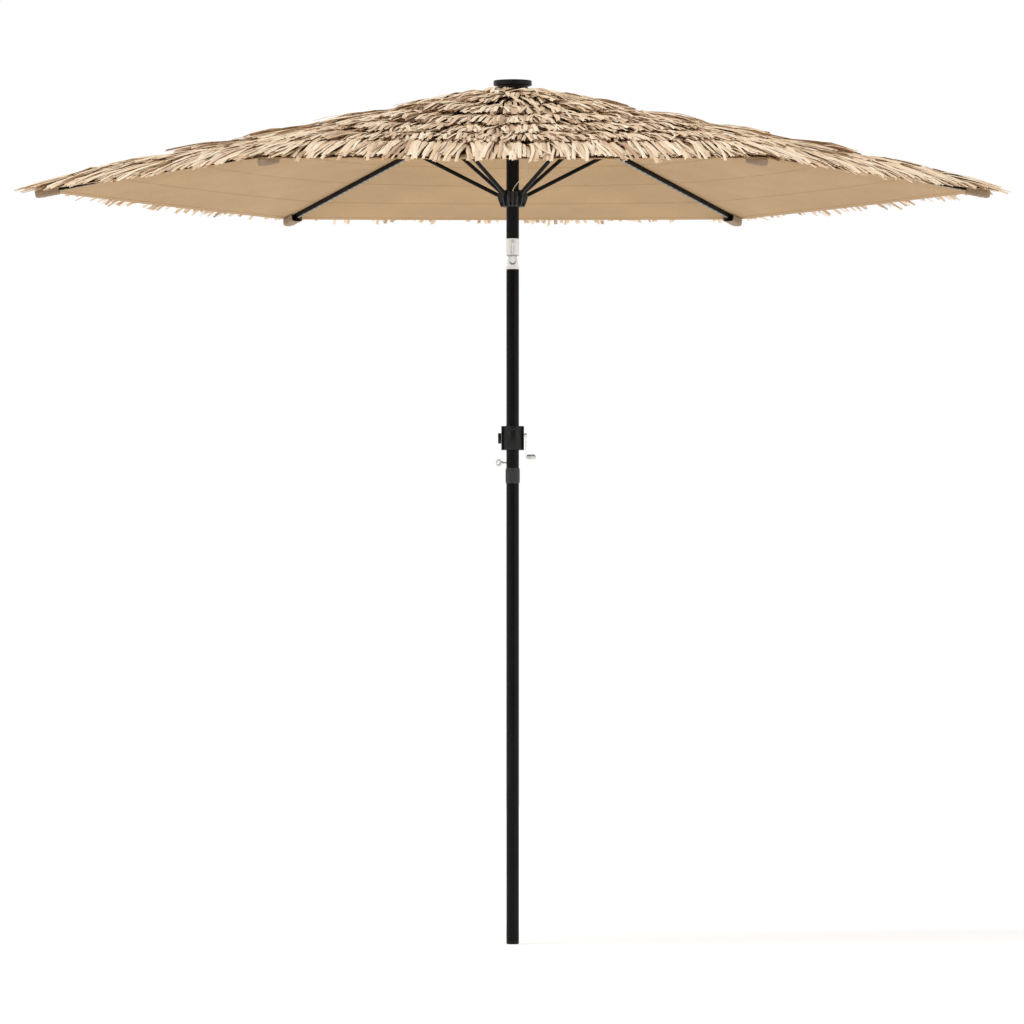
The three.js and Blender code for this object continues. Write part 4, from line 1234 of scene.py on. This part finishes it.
def ribbon_tones(rng, height, lighter):
    """Shade and hue of each ribbon: painted shade makes what lies deeper darker, lighter adds painted light
    to a whole row, and some are brown.
    """
    count = len(height)
    # Painted shade: a ribbon with less lift is darker, as if shadowed by those above it; lighter is painted
    # light.
    shade = (rng.normal(0.78, 0.12, count) + lighter) * (0.55 + 0.45 * height)
    brown = rng.uniform(0, 1, count) < 0.15
    shade = np.where(brown, shade * rng.uniform(0.3, 0.7, count), shade)
    return np.stack([np.clip(shade, 0.03, 1), rng.uniform(0, 1, count) ** 2], axis=-1)


def thatch_mesh(number, side):
    """All rows of ribbons on half a panel."""
    rng = np.random.default_rng(100 * number + (1 if side > 0 else 2))
    strips, tones = [], []
    for root, hip_scale in zip([*ROW_ROOTS, CROWN_ROOT], HIP_SCALES):
        last = root == ROW_ROOTS[0]
        for maker in (row_ribbons, hip_ribbons):
            on_hip = maker is hip_ribbons
            scale = hip_scale if on_hip else (0.85 if last else 1.0)
            roots, heading, length, width, lift, curl = maker(rng, side, root, scale)
            peak, end = ROW_PEAK, ROW_END
            if last:
                length = fringe_length(rng, len(length)) + (TIP_REACH if on_hip else 0)
                peak, end = (HIP_TIP_PEAK, HIP_TIP_END) if on_hip else (HEM_PEAK, HEM_END)
            if root == CROWN_ROOT:
                length *= 0.75
                curl *= 2.0
                width *= 1.2
            x, y, height, across_, crease = ribbon_strips(rng, roots, heading, length, width, lift, curl,
                                                          peak, end)
            z = cloth_height(x, y) + np.maximum(height, 1.5)
            if not on_hip:
                z -= hem_droop(x, y)
            center = np.stack([x, y, z], axis=-1)
            strips.append(np.stack([center - across_, center + crease, center + across_], axis=2))
            # Painted light: the lowest row, which hangs in shade below the hem, is made lighter.
            tones.append(ribbon_tones(rng, lift / lift.max(), 0.12 if last else 0.0))
    name = half_name("thatch", number, side)
    return moved(strip_piece(name, np.concatenate(strips), np.concatenate(tones), rng), turn(number))


def strip_piece(name, points, tone_with_painted_shade, rng):
    """One mesh from an array of ribbons, with each ribbon's tone, painted shade darkening it towards its
    root, and the direction of its fibres.
    """
    count, rows, across_, _ = points.shape
    index = np.arange(count * rows * across_).reshape(count, rows, across_)
    quad_list = np.stack([index[:, :-1, :-1], index[:, 1:, :-1], index[:, 1:, 1:], index[:, :-1, 1:]],
                         axis=-1).reshape(-1, 4)
    mesh = array_mesh(name, points.reshape(-1, 3), quad_list)
    along = np.linspace(0, 0.23, rows)[None, :, None] + rng.uniform(0, 40, count)[:, None, None]
    side = np.linspace(0, 0.01, across_)[None, None, :] + rng.uniform(0, 1, count)[:, None, None]
    per_point = np.stack(np.broadcast_arrays(side, along), axis=-1).reshape(-1, 2)
    add_uv(mesh, "strip", per_point, quad_list)
    colors = mesh.color_attributes.new("tone", "FLOAT_COLOR", "POINT")
    values = np.ones((count, rows, across_, 4), np.float32)
    # Painted shade: each ribbon is darker towards its root, which lies under the row above.
    root_painted_shade = np.interp(np.linspace(0, 1, rows), [0, 0.2, 0.5], [0.45, 0.68, 1.0])
    values[..., 0] = tone_with_painted_shade[:, 0, None, None] * root_painted_shade[None, :, None]
    values[..., 1] = tone_with_painted_shade[:, 1, None, None]
    colors.data.foreach_set("color", values.ravel())
    return smooth(add_object(name, mesh))


CROWN_TUFTS = 150


def crown_thatch():
    """Short, tightly curled ribbons around the finial, which ride on the mast."""
    rng = np.random.default_rng(7)
    count = CROWN_TUFTS
    around = 2 * math.pi * (np.arange(count) + rng.uniform(0, 1, count)) / count
    start = rng.uniform(17, 26, count)
    roots = np.stack([start * np.cos(around), start * np.sin(around)], axis=-1)
    heading = around + rng.normal(0, 0.25, count)
    length = rng.uniform(62, 88, count)
    width = rng.uniform(9, 13, count)
    lift = rng.uniform(0.2, 1, count)
    curl = rng.uniform(0.5, 1.2, count)
    x, y, _, across_, crease = ribbon_strips(rng, roots, heading, length, width, lift, curl)
    radius = np.hypot(x, y)
    low = np.interp(radius, [0, 20, 38, 60, 110], [2540, 2539.5, 2534, 2532, 2522])
    high = np.interp(radius, [0, 20, 44, 60, 80, 110], [2541, 2543, 2553, 2559, 2558, 2540])
    z = low + (high - low) * lift[:, None]
    center = np.stack([x, y, z], axis=-1)
    tight = np.interp(radius, [20, 60], [0.45, 1.0])[..., None]
    points = np.stack([center - across_ * tight, center + crease * tight, center + across_ * tight], axis=2)
    shade = np.clip(rng.normal(0.66, 0.16, count), 0.1, 0.95)
    return strip_piece("thatch_crown", points, np.stack([shade, rng.uniform(0, 1, count) ** 2], axis=-1), rng)


def gather(piece):
    """The piece's mesh is replaced by a copy."""
    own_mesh(piece)


def make_canopy(cloth, ribbon):
    for number in RIBS:
        for side in (-1, 1):
            sheet = half_panel(number, side)
            dress(sheet, f"rib_{number}", "canopy_cloth", cloth, f"canopy_{number}")
            gather(sheet)
            thatch = thatch_mesh(number, side)
            dress(thatch, f"rib_{number}", "canopy_cloth", ribbon)
            gather(thatch)
    dress(crown_thatch(), "mast", "canopy_cloth", ribbon)


# ---- Studio ----

FLOOR_HALF = 60000.0


def make_floor(material):
    half = FLOOR_HALF
    corners = [(-half, -half, 0), (half, -half, 0), (half, half, 0), (-half, half, 0)]
    floor = mesh_piece("studio_floor", corners, [(0, 1, 2, 3)])
    floor.data.materials.append(material)


def make_world():
    """A white room whose camera side is darker, as in a studio; the camera itself sees plain white."""
    world = bpy.data.worlds.new("studio")
    bpy.context.scene.world = world
    world.use_nodes = True
    nodes, links = world.node_tree.nodes, world.node_tree.links
    background = nodes["Background"]
    place = nodes.new("ShaderNodeTexCoord")
    axes = nodes.new("ShaderNodeSeparateXYZ")
    links.new(place.outputs["Generated"], axes.inputs[0])
    shade = nodes.new("ShaderNodeMapRange")
    shade.interpolation_type = "SMOOTHSTEP"
    links.new(axes.outputs["Y"], shade.inputs["Value"])
    limits = {"From Min": -0.8, "From Max": -0.4, "To Min": 0.06, "To Max": 0.9}
    for socket, number in limits.items():
        shade.inputs[socket].default_value = number
    path = nodes.new("ShaderNodeLightPath")
    seen = nodes.new("ShaderNodeMix")
    links.new(path.outputs["Is Camera Ray"], seen.inputs[0])
    links.new(shade.outputs["Result"], seen.inputs[2])
    seen.inputs[3].default_value = 1.0
    links.new(seen.outputs[0], background.inputs["Strength"])
    background.inputs["Color"].default_value = (1, 1, 1, 1)


def add_sun(name, direction, energy, spread, color=(1, 1, 1)):
    data = bpy.data.lights.new(name, "SUN")
    data.energy = energy
    data.angle = math.radians(spread)
    data.color = color
    light = bpy.data.objects.new(name, data)
    bpy.context.scene.collection.objects.link(light)
    light.rotation_euler = (-Vector(direction)).to_track_quat("-Z", "Y").to_euler()


def make_lights():
    add_sun("key", (-0.55, -0.55, 0.65), 1.7, 50, (1.0, 0.985, 0.96))
    add_sun("fill", (0.7, -0.5, 0.25), 0.35, 25)


# ---- Assembly ----

CLOTH_COLOR = (0.445, 0.285, 0.142)
POCKET_COLOR = (0.32, 0.23, 0.155)

make_camera()
make_lift_cord(cord_braid())

COAT = powder_coat()
DARK = moulded_plastic("dark_plastic", (0.026, 0.0275, 0.027), 0.5, 0.35)
BLACK = moulded_plastic("black_plastic", (0.005, 0.0055, 0.0054), 0.42, 0.2)
FORK_GREY = moulded_plastic("runner_plastic", (0.03, 0.032, 0.034), 0.42, 0.35)
LIGHT = moulded_plastic("light_plastic", (0.66, 0.665, 0.65), 0.35)
CAST = cast_metal()
# Grey for the discs of painted shadow in the tilt recesses.
SHADOW = moulded_plastic("tilt_recess_shadow_grey", (0.2, 0.2, 0.2), 0.6)
METAL = bright_metal()

make_poles(COAT, BLACK)
make_coupling(DARK)
make_lock_screw(METAL, LIGHT)
make_housing(moulded_plastic("case_plastic", (0.0115, 0.012, 0.012), 0.36, 0.2, 0.3), BLACK)
make_crank(METAL, LIGHT, BLACK)
make_tilt_fork(CAST)
make_tilt_pin(CAST, SHADOW)
# The band's grey is painted shade.
make_tilt_head(CAST, LIGHT, moulded_plastic("tilt_shade_band_grey", (0.4, 0.4, 0.39), 0.6))
make_mast(COAT, METAL, LIGHT)
make_crown(BLACK, METAL)
make_finial(BLACK, solar_glass(), LIGHT)
make_runner(BLACK, FORK_GREY)
make_ribs(COAT, light_strip())
make_struts(COAT)
make_pockets(woven("pocket_weave", POCKET_COLOR))
STITCH_ROWS = [gap * MM for gap in (3, 20, *ROW_GAPS)]
make_canopy(woven("canopy_weave", CLOTH_COLOR, stitch_rows=STITCH_ROWS), straw())

for hidden, finish in (("pole_ferrule", COAT), ("crank_spool", METAL), ("crank_brake", BLACK)):
    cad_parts[hidden].data.materials[0] = finish

make_floor(studio_floor())
make_world()
make_lights()
bpy.context.scene.view_settings.view_transform = "Standard"
